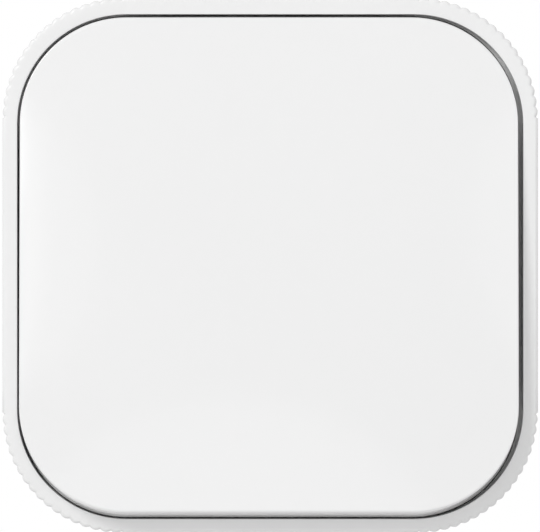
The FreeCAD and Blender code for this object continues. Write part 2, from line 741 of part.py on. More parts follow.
def make_rocker_cover():
    body = new_body("rocker_cover", PIVOT_DEPTH, "-rocker_tilt")
    spread = "(2 * skirt_length * tan(skirt_draft * 1 deg))"
    wide = f"({FACE_WIDTH} + {spread})"
    high = f"({FACE_HEIGHT} + {spread})"
    round_off = f"({FACE_CORNER} + {spread} / 2)"
    sketch = new_sketch(body, "Skirt_outline", COVER_BACK)
    draw_rectangle(sketch, wide, high, round_off)
    skirt = pad(body, sketch, "skirt_length + face_crown", "Skirt")
    bind(skirt, "TaperAngle", "-skirt_draft * 1 deg")
    doc.recompute()
    crown_face(body)
    cut_block(body, "Inside", f"{wide} - 2 * cover_wall", f"{high} - 2 * cover_wall", COVER_BACK,
              COVER_INSIDE, corner=f"{round_off} - cover_wall")
    near = "(carrier_height / 2 + clip_clearance)"
    back = f"({CARRIER_BACK} - clip_reach)"
    nose = "(clip_nose + clip_clearance + clip_root)"
    for name, side in (("ClipUpper", "1"), ("ClipLower", "-1")):
        add_block(body, name, "clip_width", "clip_wall", back, COVER_INSIDE,
                  z=f"{side} * ({near} + clip_wall / 2)")
        add_block(body, name + "Nose", "clip_width", nose, back,
                  f"{CARRIER_BACK} - clip_clearance",
                  z=f"{side} * ({near} + clip_root - {nose} / 2)")
    return body


def crown_face(body):
    """Take the flat front down to a shallow dome, highest in the middle, and round its edge."""
    half = f"({FACE_WIDTH} / 2)"
    dome = f"(({half} * {half} + face_crown * face_crown) / (2 * face_crown))"
    top = "(face_front + face_crown)"
    reach = "hood_width"
    sketch = new_sketch(body, "Crown_outline", "0", role="YZ_Plane")
    point = FreeCAD.Vector
    near = -number(top)
    radius = number(dome)
    width = number(reach)
    swing = math.asin(width / radius)
    low = near + radius - radius * math.cos(swing)
    circle = Part.Circle(point(near + radius, 0, 0), point(0, 0, 1), radius)
    arc = sketch.addGeometry(Part.ArcOfCircle(circle, math.pi - swing, math.pi))
    front = near - number("cut_overrun")
    side = sketch.addGeometry(Part.LineSegment(point(front, width, 0), point(low, width, 0)))
    face = sketch.addGeometry(Part.LineSegment(point(front, 0, 0), point(front, width, 0)))
    axis = sketch.addGeometry(Part.LineSegment(point(near, 0, 0), point(front, 0, 0)))
    constrain(sketch, "Coincident", arc, 1, side, 2)
    constrain(sketch, "Coincident", side, 1, face, 2)
    constrain(sketch, "Coincident", face, 1, axis, 2)
    constrain(sketch, "Coincident", axis, 1, arc, 2)
    constrain(sketch, "PointOnObject", axis, 1, -1)
    constrain(sketch, "PointOnObject", arc, 3, -1)
    constrain(sketch, "Horizontal", axis)
    constrain(sketch, "Vertical", face)
    constrain(sketch, "Horizontal", side)
    constrain(sketch, "Radius", arc, size=dome)
    constrain(sketch, "DistanceX", axis, 1, -1, 1, size=top)
    constrain(sketch, "DistanceX", face, 1, -1, 1, size=f"{top} + cut_overrun")
    constrain(sketch, "DistanceY", -1, 1, side, 1, size=reach)
    groove = body.newObject("PartDesign::Groove", "Crown")
    groove.Profile = sketch
    groove.ReferenceAxis = (from_origin(body, "Y_Axis"), [""])
    groove.Angle = 360
    before = body.Shape.Volume
    doc.recompute()
    if not body.Shape.Volume < before - 1:
        raise ValueError("the crown cuts nothing")
    level = number("face_front - face_edge")
    round_edges(body, "FaceEdge", "face_edge",
                lambda edge: all(point.y < -level for point in points_on(edge)))


def make_rocker_carrier():
    body = new_body("rocker_carrier", PIVOT_DEPTH, "-rocker_tilt")
    half = f"({CARRIER_WIDTH} / 2)"
    add_block(body, "Plate", CARRIER_WIDTH, "carrier_height", CARRIER_BACK, COVER_INSIDE,
              corner="carrier_corner")
    add_roller(body, "Boss", CARRIER_BOSS_RADIUS, f"-{half}", half, "0")
    add_discs(body, "Barrel", "barrel_radius", f"-{BARREL_END}", "0")
    add_block(body, "Web", "stop_rib", f"2 * {STOP_PLACE}", f"-{CARRIER_BOSS_RADIUS}",
              CARRIER_BACK)
    fall = f"(({STOP_PLACE} + stop_rib / 2) * sin(rocker_tilt * 1 deg))"
    reach = f"((stop_drop - {fall} - stop_gap) / cos(rocker_tilt * 1 deg))"
    for name, side in (("StopUpper", "1"), ("StopLower", "-1")):
        add_block(body, name, "stop_ridge_width - 2 * stop_side", "stop_rib", f"-{reach}",
                  CARRIER_BACK, z=f"{side} * {STOP_PLACE}")
    cut_tunnel(body, "ShaftHole", "shaft_radius + shaft_clearance", f"-{half}", half, "0")
    cut_discs(body, "Bore", "barrel_bore", f"-{BARREL_END}", "-barrel_seat")
    return body


def make_plunger():
    body = new_body("plunger", PIVOT_DEPTH, "-rocker_tilt")
    add_discs(body, "Head", "barrel_bore - plunger_clearance", f"-{PLUNGER_HEAD_END}",
              f"-{PLUNGER_HEAD_TOP}")
    add_discs(body, "Stem", "plunger_stem_radius", f"-{PLUNGER_TIP}", f"-{PLUNGER_HEAD_END}")
    add_discs(body, "Spigot", f"{SPRING_RADIUS} - spring_wire - spigot_clearance",
              f"-{PLUNGER_HEAD_TOP}", f"-{PLUNGER_HEAD_TOP} + spigot_length")
    round_edges(body, "Tip", "plunger_round", at_depth(-number(PLUNGER_TIP)))
    return body


def biarc(start, start_way, end, end_way):
    """Two arcs that leave start and reach end along the given unit directions."""
    span = end - start
    spread = 2 * (1 - start_way.dot(end_way))
    along = span.dot(start_way + end_way)
    reach = (math.sqrt(along ** 2 + spread * span.dot(span)) - along) / spread
    join = (start + end + (start_way - end_way) * reach) * 0.5
    return [arc_between(start, start + start_way * reach, join),
            arc_between(join, end - end_way * reach, end)]


def arc_between(start, apex, end):
    """The arc from start to end whose tangents meet at the apex."""
    middle = (start + end) * 0.5
    rise = apex - middle
    half_chord = (end - start).Length / 2
    lean = math.atan2(rise.Length, half_chord)
    top = middle + rise * (half_chord * math.tan(lean / 2) / rise.Length)
    return Part.Arc(start, top, end).toShape()


def make_plunger_spring():
    """One unbroken wire, wound about the barrel's axis between its seat and the plunger."""
    radius = number(SPRING_RADIUS)
    wire = number("spring_wire")
    turns = int(number("spring_turns"))
    first = number("barrel_seat + spring_seat_gap") + wire / 2
    last = number(f"{PLUNGER_HEAD_TOP} - spring_seat_gap") - wire / 2
    rise = (last - first) / (2 * math.pi * turns)

    def at(angle):
        return FreeCAD.Vector(radius * math.cos(angle), first + rise * angle,
                              radius * math.sin(angle))

    def way(angle):
        return FreeCAD.Vector(-radius * math.sin(angle), rise, radius * math.cos(angle)).normalize()

    edges = []
    for step in range(4 * turns):
        angle = step * math.pi / 2
        after = angle + math.pi / 2
        edges += biarc(at(angle), way(angle), at(after), way(after))
    path = Part.Wire(edges)
    ring = Part.Wire(Part.Circle(at(0), way(0), wire / 2).toShape())
    gap = 2 * math.pi * rise - wire
    print(f"plunger_spring: {turns} turns, least gap {gap:.3f} mm")
    item = doc.addObject("Part::Feature", "plunger_spring")
    item.Label = "plunger_spring"
    item.Shape = path.makePipeShell([ring], True, False)
    tilt = FreeCAD.Rotation(FreeCAD.Vector(1, 0, 0), -number("rocker_tilt"))
    item.Placement = FreeCAD.Placement(FreeCAD.Vector(0, -number(PIVOT_DEPTH), 0), tilt)
    return item


def make_contact_blade():
    """A see-saw plate whose hub has a groove for the knife's round tip."""
    body = new_body("contact_blade", BLADE_PIVOT, BLADE_TILT)
    add_block(body, "Plate", "blade_width", BLADE_LENGTH, BLADE_BACK, "blade_front",
              corner="blade_corner")
    add_block(body, "Hub", "blade_width", "blade_hub", "-blade_hub_back", BLADE_BACK)
    groove = "(knife_tip + knife_gap)"
    bottom = f"({groove} * sin(notch_angle * 1 deg))"
    narrow = f"({groove} * cos(notch_angle * 1 deg))"
    mouth = "(blade_hub_back + cut_overrun)"
    broad = f"({narrow} + ({mouth} + {bottom}) * tan(notch_angle * 1 deg))"
    sketch = new_sketch(body, "Notch_outline", "blade_width / 2", role="YZ_Plane")
    draw_polygon(sketch, [(f"-{bottom}", f"-{narrow}"), (mouth, f"-{broad}"), (mouth, broad),
                          (f"-{bottom}", narrow)])
    pocket(body, sketch, "blade_width", "Notch")
    cut_tunnel(body, "Groove", groove, "-blade_width / 2", "blade_width / 2", "0")
    cut_discs(body, "TipHoles", "tip_shank_radius + thread_clearance", BLADE_BACK, "blade_front",
              TIPS)
    return body


def make_moving_contacts():
    body = new_body("moving_contacts", BLADE_PIVOT, BLADE_TILT)
    back = f"({BLADE_BACK} - tip_height)"
    add_discs(body, "Tips", "tip_radius", back, BLADE_BACK, TIPS)
    add_discs(body, "Shanks", "tip_shank_radius", BLADE_BACK, "blade_front + tip_shank_proud",
              TIPS)
    round_edges(body, "TipEdge", "tip_edge", at_depth(number(back)))
    return body


def make_fixed_contacts():
    body = new_body("fixed_contacts")
    sine = f"sin({BLADE_TILT} * 1 deg)"
    cosine = f"cos({BLADE_TILT} * 1 deg)"
    lowest = f"(({BLADE_BACK} - tip_height) * {cosine} - (contact_arm + tip_radius) * {sine})"
    front = f"({BLADE_PIVOT} + {lowest} - contact_gap)"
    add_discs(body, "Tips", "tip_radius", STRIP_FRONT, front, TIPS)
    round_edges(body, "TipEdge", "tip_edge", at_depth(number(front)))
    return body


def make_common_strip():
    """The strip from the first clamp to the middle, with the knife that carries the blade."""
    body = new_body("common_strip")
    foot_front = f"({CHAMBER_FLOOR} + strip_thickness)"
    left = "-(chamber_width / 2 - strip_end_gap)"
    leg = f"({TERMINAL_X} / 2 - strip_thickness)"
    end = f"({TERMINAL_X} + strip_end)"
    add_block(body, "Foot", f"{leg} - ({left})", "strip_width", CHAMBER_FLOOR, foot_front,
              x=f"({leg} + ({left})) / 2")
    add_block(body, "Leg", "strip_thickness", "strip_width", CHAMBER_FLOOR, STRIP_FRONT,
              x=f"{leg} - strip_thickness / 2")
    add_block(body, "Tongue", f"{end} - {leg}", "strip_width", LEDGE_FRONT, STRIP_FRONT,
              x=f"({end} + {leg}) / 2")
    half = "(strip_thickness / 2)"
    touch = f"({BLADE_PIVOT} + knife_tip * sin(knife_angle * 1 deg))"
    narrow = "(knife_tip * cos(knife_angle * 1 deg))"
    shoulder = f"({touch} - ({half} - {narrow}) / tan(knife_angle * 1 deg))"
    sketch = new_sketch(body, "Knife_outline", "-blade_width / 2", role="YZ_Plane")
    draw_polygon(sketch, [(f"-{foot_front}", f"-{half}"), (f"-{shoulder}", f"-{half}"),
                          (f"-{touch}", f"-{narrow}"), (f"-{touch}", narrow),
                          (f"-{shoulder}", half), (f"-{foot_front}", half)])
    pad(body, sketch, "blade_width", "Knife")
    add_roller(body, "KnifeTip", "knife_tip", "-blade_width / 2", "blade_width / 2", BLADE_PIVOT)
    return body


def make_output_strip(label, side):
    body = new_body(label)
    right = "(chamber_width / 2 - strip_end_gap)"
    left = f"({TERMINAL_X} + strip_end)"
    add_block(body, "Strip", f"{left} + {right}", "strip_width", LEDGE_FRONT, STRIP_FRONT,
              x=f"({right} - {left}) / 2", z=f"{side} * contact_arm")
    return body


def make_terminal_cages():
    body = new_body("terminal_cages")
    front = f"({CAGE_TOP_BACK} + cage_top_wall)"
    for index, (x, z) in enumerate(TERMINALS):
        add_block(body, f"Cage{index}", "cage_width", "cage_height", CAGE_BACK, front, x=x, z=z)
        cut_block(body, f"Mouth{index}", "cage_width", CHANNEL_WIDTH, CAGE_INSIDE,
                  CAGE_TOP_BACK, x=x, z=z)
    cut_discs(body, "Threads", "clamp_screw_radius + thread_clearance", CAGE_TOP_BACK, front,
              TERMINALS)
    return body


def make_terminal_screws():
    body = new_body("terminal_screws")
    seat = f"({STRIP_FRONT} + cage_top_wall + clamp_head_lift)"
    add_screws(body, "clamp_screw_radius", "clamp_head_radius", seat, "clamp_head_height",
               STRIP_FRONT, TERMINALS)
    return body


def make_all():
    return [
        make_base_plate(),
        make_hood(),
        make_entry_slide("entry_slide_top", "1", True),
        make_entry_slide("entry_slide_bottom", "-1", False),
        make_hood_screws(),
        make_screw_retainers(),
        make_switch_insert(),
        make_bearing_frame(),
        make_insert_screws(),
        make_frame_rivets(),
        make_pivot_shaft(),
        make_rocker_cover(),
        make_rocker_carrier(),
        make_plunger(),
        make_plunger_spring(),
        make_contact_blade(),
        make_moving_contacts(),
        make_fixed_contacts(),
        make_common_strip(),
        make_output_strip("output_strip_upper", "1"),
        make_output_strip("output_strip_lower", "-1"),
        make_terminal_cages(),
        make_terminal_screws(),
    ]


def check_and_write(pieces):
    doc.recompute()
    for item in doc.Objects:
        if "Invalid" in item.State or "Error" in item.State:
            raise ValueError(f"{item.Name} failed: {item.State}")
    for piece in pieces:
        if piece.Shape.isNull() or not piece.Shape.isValid():
            raise ValueError(f"{piece.Label} has no valid shape")
    os.makedirs("parts", exist_ok=True)
    for piece in pieces:
        piece.Shape.exportStep(f"parts/{piece.Label}.step")
        print(f"{piece.Label}: {len(piece.Shape.Solids)} solids, {piece.Shape.Volume:.2f} mm3")


check_and_write(make_all())
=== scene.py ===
import json
import logging
import math
from collections.abc import Iterable, Sequence
from dataclasses import dataclass
from enum import Enum
from functools import partial
from typing import Any

import bmesh
import bpy
from mathutils import Matrix, Vector


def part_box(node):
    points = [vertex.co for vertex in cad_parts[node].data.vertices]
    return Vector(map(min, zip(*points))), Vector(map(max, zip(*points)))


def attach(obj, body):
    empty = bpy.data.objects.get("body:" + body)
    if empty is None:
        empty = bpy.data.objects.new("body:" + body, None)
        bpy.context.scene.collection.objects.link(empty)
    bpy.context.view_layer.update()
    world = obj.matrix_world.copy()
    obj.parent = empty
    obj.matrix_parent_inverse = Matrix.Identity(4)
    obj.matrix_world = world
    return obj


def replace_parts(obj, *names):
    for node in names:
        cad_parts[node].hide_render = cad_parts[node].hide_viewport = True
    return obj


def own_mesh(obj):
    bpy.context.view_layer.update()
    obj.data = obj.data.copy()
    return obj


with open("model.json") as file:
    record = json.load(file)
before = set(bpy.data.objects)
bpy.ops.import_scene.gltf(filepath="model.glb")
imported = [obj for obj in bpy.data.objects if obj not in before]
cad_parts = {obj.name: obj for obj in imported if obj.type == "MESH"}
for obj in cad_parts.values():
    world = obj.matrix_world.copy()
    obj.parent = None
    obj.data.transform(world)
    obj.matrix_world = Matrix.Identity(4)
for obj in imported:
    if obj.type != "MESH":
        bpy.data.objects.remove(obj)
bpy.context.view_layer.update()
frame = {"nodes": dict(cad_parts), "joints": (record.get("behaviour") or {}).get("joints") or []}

# A one-gang surface-mounted rocker switch. Sizes in the classes are in millimetres and meshes in
# metres. The wall is the plane Y = 0, the front looks along -Y, and a depth is the distance in
# front of the wall or, on the rocker, in front of its pivot. At rest the rocker's top is pressed in
# by REST_TILT degrees.

MM = 0.001
REST_TILT = 4.0
LOG = logging.getLogger("wall_switch")

# In a copy of a CAD mesh, points nearer than MERGED millimetres become one point, faces that turn
# by less than FLAT_TURN degrees become one face, and edges that turn by more than BEVELLED_TURN
# degrees get a bevel.
MERGED = 0.002
FLAT_TURN = 0.5
BEVELLED_TURN = 40.0

# How many faces a bevel has across it.
BEVEL_STEPS = 2

# A length that is divided by is at least this, in metres.
LEAST_LENGTH = 1e-6

# Edges that turn by more than this many degrees stay sharp. COVER_TURN is for hood and rocker.
SHARP_TURN = 60.0
COVER_TURN = 50.0

# The span that most of a noise pattern's values keep to.
NOISE_LOW = 0.3
NOISE_HIGH = 0.7

Loop = list[Vector]
Piece = bpy.types.Object
Socket = bpy.types.NodeSocket


class Slot(Enum):
    """The record's material slots."""

    HOOD = "hood_plastic"
    ROCKER = "rocker_plastic"
    BASE = "base_plastic"
    INSERT = "insert_plastic"
    FRAME = "frame_plastic"
    CARRIER = "carrier_plastic"
    PLUNGER = "plunger_plastic"
    RETAINER = "retainer_plastic"
    ZINC = "zinc_steel"
    STEEL = "bright_steel"
    BRASS = "brass"
    SILVER = "contact_silver"


class Side(Enum):
    """The end of the hood that a cable entry slide closes."""

    TOP = 1
    BOTTOM = -1


@dataclass(frozen=True)
class Outline:
    """A square with round corners as seen from the front.

    Attributes:
        half_x: Half of its width.
        half_z: Half of its height.
        corner: The radius of its corners.
        middle_x: Where its middle lies along X.
        middle_z: Where its middle lies along Z.
    """

    half_x: float
    half_z: float
    corner: float
    middle_x: float = 0.0
    middle_z: float = 0.0

    def inset(self, distance: float) -> "Outline":
        """The outline that lies a distance inside this one."""
        return Outline(self.half_x - distance, self.half_z - distance, self.corner - distance,
                       self.middle_x, self.middle_z)

    def points(self, angles: Sequence[float], side_steps: int = 1) -> list[tuple[float, float]]:
        """Points round the outline, from the right side towards the top.

        Args:
            angles: Where the points of each corner lie, in degrees from its start.
            side_steps: How many steps each straight side is divided into.

        Returns:
            Pairs of x and z, as many for any outline.
        """
        turns = ((1, 1), (-1, 1), (-1, -1), (1, -1))
        corners = []
        for quarter, (side_x, side_z) in enumerate(turns):
            middle_x = side_x * (self.half_x - self.corner) + self.middle_x
            middle_z = side_z * (self.half_z - self.corner) + self.middle_z
            corner = []
            for angle in angles:
                turn = math.radians(90 * quarter + angle)
                corner.append((middle_x + self.corner * math.cos(turn),
                               middle_z + self.corner * math.sin(turn)))
            corners.append(corner)
        found = []
        for quarter, corner in enumerate(corners):
            found += corner
            (x0, z0), (x1, z1) = corner[-1], corners[(quarter + 1) % 4][0]
            for step in range(1, side_steps):
                share = step / side_steps
                found.append((x0 + (x1 - x0) * share, z0 + (z1 - z0) * share))
        return found


def even_angles(steps: int) -> list[float]:
    """Angles that divide a quarter turn into equal steps."""
    return [90 * step / steps for step in range(steps + 1)]


def arc_steps(radius: float, steps: int) -> list[tuple[float, float]]:
    """A quarter round as pairs of what is left to each of the two faces that it joins.

    Args:
        radius: The edge's radius.
        steps: How many steps it has.

    Returns:
        Pairs that go from (0, radius) to (radius, 0).
    """
    pairs = []
    for step in range(steps + 1):
        turn = math.pi / 2 * step / steps
        pairs.append((radius * (1 - math.cos(turn)), radius * (1 - math.sin(turn))))
    return pairs


def mesh_object(name: str, shape: bmesh.types.BMesh) -> Piece:
    """Make a linked object from a BMesh, which is freed.

    Args:
        name: The object's name.
        shape: Its mesh.

    Returns:
        The object.
    """
    mesh = bpy.data.meshes.new(name)
    shape.to_mesh(mesh)
    shape.free()
    piece = bpy.data.objects.new(name, mesh)
    bpy.context.scene.collection.objects.link(piece)
    return piece


def loft(shape: bmesh.types.BMesh, loops: Sequence[Loop], closed: bool) -> None:
    """Join loops of points with four-sided faces.

    Args:
        shape: Where the faces are added.
        loops: Loops with the same number of points, in millimetres.
        closed: Whether the last loop joins the first; if not, both ends are capped.
    """
    rows = [[shape.verts.new(point * MM) for point in loop] for loop in loops]
    pairs = list(zip(rows, rows[1:]))
    if closed:
        pairs.append((rows[-1], rows[0]))
    for row, after in pairs:
        count = len(row)
        for index in range(count):
            beside = (index + 1) % count
            shape.faces.new((row[index], row[beside], after[beside], after[index]))
    if not closed:
        shape.faces.new(rows[0])
        shape.faces.new(rows[-1])


def add_box(shape: bmesh.types.BMesh, low: Sequence[float], high: Sequence[float],
            edge: float) -> None:
    """Add a box with bevelled edges.

    Args:
        shape: Where the box is added.
        low: Its lowest corner, in millimetres.
        high: Its highest corner.
        edge: The width of its bevels.
    """
    made = bmesh.ops.create_cube(shape, size=1)
    size = Vector(high) - Vector(low)
    middle = (Vector(high) + Vector(low)) / 2
    for vert in made["verts"]:
        vert.co = Vector(a * b + c for a, b, c in zip(vert.co, size, middle)) * MM
    edges = list({side for vert in made["verts"] for side in vert.link_edges})
    bmesh.ops.bevel(shape, geom=edges, offset=edge * MM, segments=BEVEL_STEPS, profile=0.5,
                    affect="EDGES")


def apply_modifiers(piece: Piece) -> Piece:
    """Replace a piece's mesh by what its modifiers make of it, and remove them.

    Args:
        piece: The piece.

    Returns:
        The same piece.
    """
    graph = bpy.context.evaluated_depsgraph_get()
    graph.update()
    mesh = bpy.data.meshes.new_from_object(piece.evaluated_get(graph), depsgraph=graph)
    old = piece.data
    piece.modifiers.clear()
    piece.data = mesh
    mesh.name = piece.name
    bpy.data.meshes.remove(old)
    return piece


def shade(piece: Piece, sharp: float) -> Piece:
    """Shade a piece smooth, with flat faces kept flat.

    Args:
        piece: The piece.
        sharp: Edges that turn by more than this many degrees stay sharp.

    Returns:
        The same piece, without modifiers.
    """
    piece.data.shade_smooth()
    piece.data.set_sharp_from_angle(angle=math.radians(sharp))
    weigh = piece.modifiers.new("flat faces", "WEIGHTED_NORMAL")
    weigh.keep_sharp = True
    return apply_modifiers(piece)


def finish_mesh(piece: Piece, sharp: float = SHARP_TURN) -> None:
    """Turn a piece's faces outwards and shade it.

    Args:
        piece: The piece.
        sharp: Edges that turn by more than this many degrees stay sharp.
    """
    shape = bmesh.new()
    shape.from_mesh(piece.data)
    bmesh.ops.recalc_face_normals(shape, faces=shape.faces)
    shape.to_mesh(piece.data)
    shape.free()
    shade(piece, sharp)


def joint_named(name: str) -> dict[str, Any]:
    """The frame's row for a joint."""
    return next(joint for joint in frame["joints"] if joint["name"] == name)


def rocker_place() -> Matrix:
    """Where the rocker lies at rest: at its pivot, with its top pressed in."""
    turn = Matrix.Rotation(math.radians(-REST_TILT), 4, "X")
    return Matrix.Translation(joint_named("rocker_tilt")["pos_m"]) @ turn


def softened_copy(node: str, name: str, edge: float) -> Piece:
    """A copy of a CAD node's shape with its sharp edges bevelled.

    Args:
        node: The node's name.
        name: The new piece's name.
        edge: The width of the bevels, in millimetres.

    Returns:
        The new piece.
    """
    shape = bmesh.new()
    shape.from_mesh(frame["nodes"][node].data)
    bmesh.ops.remove_doubles(shape, verts=shape.verts, dist=MERGED * MM)
    bmesh.ops.dissolve_limit(shape, angle_limit=math.radians(FLAT_TURN), verts=shape.verts,
                             edges=shape.edges)
    piece = mesh_object(name, shape)
    piece.data.materials.clear()
    bevel = piece.modifiers.new("edges", "BEVEL")
    bevel.width = edge * MM
    bevel.segments = BEVEL_STEPS
    bevel.limit_method = "ANGLE"
    bevel.angle_limit = math.radians(BEVELLED_TURN)
    bevel.miter_outer = "MITER_ARC"
    bevel.use_clamp_overlap = True
    return shade(apply_modifiers(piece), SHARP_TURN)


class NodeTree:
    """A tree of nodes, made and linked by short calls."""

    def __init__(self, tree: bpy.types.NodeTree) -> None:
        """Keep the nodes and links of a tree at hand."""
        self.nodes, self.links = tree.nodes, tree.links

    def feed(self, socket: Socket, value: Any) -> None:
        """Link a socket to an input, or set the input's value.

        Args:
            socket: The input.
            value: What it gets.
        """
        if isinstance(value, Socket):
            self.links.new(value, socket)
        else:
            socket.default_value = value

    def add(self, kind: str, settings: dict[str, Any] | None = None,
            **inputs: Any) -> bpy.types.Node:
        """Add a node.

        Args:
            kind: The node's type.
            settings: Properties of the node.
            **inputs: Values or sockets by input name, with spaces as underscores.

        Returns:
            The node.
        """
        node = self.nodes.new(kind)
        for name, value in (settings or {}).items():
            setattr(node, name, value)
        for name, value in inputs.items():
            self.feed(node.inputs[name.replace("_", " ")], value)
        return node

    def step(self, kind: str, operation: str | None, *values: Any) -> Socket:
        """Add a node whose inputs are given in order.

        Args:
            kind: The node's type.
            operation: Its operation, if it has one.
            *values: Values or sockets for its inputs.

        Returns:
            Its first output.
        """
        node = self.add(kind, {"operation": operation} if operation else None)
        for socket, value in zip(node.inputs, values):
            self.feed(socket, value)
        return node.outputs[0]

    def math(self, operation: str, *values: Any) -> Socket:
        """A sum, product or other step of arithmetic on numbers or sockets."""
        return self.step("ShaderNodeMath", operation, *values)


class ShaderTree(NodeTree):
    """A material's nodes."""

    def __init__(self, name: str) -> None:
        """Start a material with a Principled shader and Object coordinates.

        Args:
            name: The material's name.
        """
        self.material = bpy.data.materials.new(name)
        self.material.use_nodes = True
        super().__init__(self.material.node_tree)
        self.shader = self.nodes["Principled BSDF"]
        self.place = self.add("ShaderNodeTexCoord").outputs["Object"]

    def noise(self, size: float, detail: float,
              stretch: tuple[float, float, float] = (1.0, 1.0, 1.0)) -> Socket:
        """A noise pattern on Object coordinates.

        Args:
            size: The pattern's size in millimetres.
            detail: How many finer layers it has.
            stretch: How much closer it lies along each axis.

        Returns:
            The pattern's value.
        """
        place = self.place
        if stretch != (1.0, 1.0, 1.0):
            place = self.add("ShaderNodeMapping", Vector=place, Scale=stretch).outputs["Vector"]
        return self.add("ShaderNodeTexNoise", Vector=place, Scale=1 / (size * MM),
                        Detail=detail).outputs["Fac"]

    def spread(self, value: Socket, low: float, high: float) -> Socket:
        """Map a pattern's usual span to the span from low to high."""
        return self.add("ShaderNodeMapRange", Value=value, From_Min=NOISE_LOW,
                        From_Max=NOISE_HIGH, To_Min=low, To_Max=high).outputs["Result"]

    def mix(self, share: Socket, first: Sequence[float], second: Sequence[float]) -> Socket:
        """Mix two colours by a pattern.

        Args:
            share: The pattern.
            first: The colour at its low end.
            second: The colour at its high end.

        Returns:
            The mixed colour.
        """
        node = self.add("ShaderNodeMix", {"data_type": "RGBA"}, Factor=share)
        colours = [socket for socket in node.inputs if socket.type == "RGBA"]
        for socket, colour in zip(colours, (first, second)):
            socket.default_value = (*colour, 1)
        return next(socket for socket in node.outputs if socket.type == "RGBA")

    def blend(self, share: Any, first: Any, second: Any) -> Socket:
        """Mix two shaders by a share."""
        return self.step("ShaderNodeMixShader", None, share, first, second)

    def bump(self, height: Socket, distance: float, below: Socket | None = None) -> Socket:
        """A bumped normal.

        Args:
            height: The pattern of heights.
            distance: Its height in millimetres.
            below: A bumped normal that lies under it.

        Returns:
            The normal.
        """
        node = self.add("ShaderNodeBump", Distance=distance * MM, Height=height)
        if below is not None:
            self.feed(node.inputs["Normal"], below)
        return node.outputs["Normal"]

    def paint(self, colour: Sequence[float], change: float, pattern: Socket) -> None:
        """Let the base colour go lighter and darker with a pattern.

        Args:
            colour: The mean colour.
            change: How far it changes.
            pattern: The pattern.
        """
        tone = self.mix(self.spread(pattern, 0.0, 1.0), tinted(colour, 1 - change),
                        tinted(colour, 1 + change))
        self.feed(self.shader.inputs["Base Color"], tone)

    def roughen(self, low: float, high: float, pattern: Socket) -> None:
        """Let the roughness go from low to high with a pattern."""
        self.feed(self.shader.inputs["Roughness"], self.spread(pattern, low, high))


def tinted(colour: Sequence[float], factor: float) -> tuple[float, ...]:
    """A colour made lighter or darker by a factor."""
    return tuple(min(1.0, part * factor) for part in colour)


@dataclass(frozen=True)
class Plastic:
    """A moulded plastic.

    Attributes:
        slot: The record's slot that it stands for.
        colour: Its colour, linear.
        roughness: Its mean roughness.
        change: How far the roughness changes over the surface.
        tone: How far the colour changes over the surface.
        grain: The size of the finest texture of the mould, in millimetres.
        grain_height: That texture's height.
        wave: The size of the soft waviness from shrinkage.
        wave_height: That waviness's height.
        patch: How much larger the changes of colour are than that waviness.
        refraction: Its index of refraction.
    """

    slot: Slot
    colour: tuple[float, float, float]
    roughness: float = 0.3
    change: float = 0.04
    tone: float = 0.012
    grain: float = 0.35
    grain_height: float = 0.0006
    wave: float = 7.0
    wave_height: float = 0.002
    patch: float = 1.7
    refraction: float = 1.5

    def material(self) -> bpy.types.Material:
        """Make the finish.

        Returns:
            The material.
        """
        tree = ShaderTree(self.slot.value)
        tree.feed(tree.shader.inputs["IOR"], self.refraction)
        tree.paint(self.colour, self.tone, tree.noise(self.wave * self.patch, detail=2.0))
        tree.roughen(self.roughness - self.change, self.roughness + self.change,
                     tree.noise(self.wave, detail=3.0))
        wave = tree.bump(tree.noise(self.wave, detail=1.0), self.wave_height)
        fine = tree.bump(tree.noise(self.grain, detail=2.0), self.grain_height, wave)
        tree.feed(tree.shader.inputs["Normal"], fine)
        return tree.material


@dataclass(frozen=True)
class Metal:
    """A plated, ground or stamped metal.

    Attributes:
        slot: The record's slot that it stands for.
        colour: Its colour, linear.
        roughness: Its mean roughness.
        grain: The width of its rolling or grinding marks, in millimetres.
        grain_height: Their height.
        run: How much longer the marks are than wide.
        stain: How far plating and handling change the colour.
        stain_size: The size of those changes.
        smear: The size of the changes in roughness.
        smoother: How far the roughness falls.
        rougher: How far it rises.
    """

    slot: Slot
    colour: tuple[float, float, float]
    roughness: float = 0.32
    grain: float = 0.12
    grain_height: float = 0.0012
    run: float = 14.0
    stain: float = 0.08
    stain_size: float = 2.2
    smear: float = 0.8
    smoother: float = 0.07
    rougher: float = 0.09

    def material(self) -> bpy.types.Material:
        """Make the finish.

        Returns:
            The material.
        """
        tree = ShaderTree(self.slot.value)
        tree.feed(tree.shader.inputs["Metallic"], 1.0)
        tree.paint(self.colour, self.stain, tree.noise(self.stain_size, detail=4.0))
        tree.roughen(self.roughness - self.smoother, self.roughness + self.rougher,
                     tree.noise(self.smear, detail=4.0))
        marks = tree.noise(self.grain, detail=3.0, stretch=(1 / self.run, 1.0, 1.0))
        tree.feed(tree.shader.inputs["Normal"], tree.bump(marks, self.grain_height))
        return tree.material


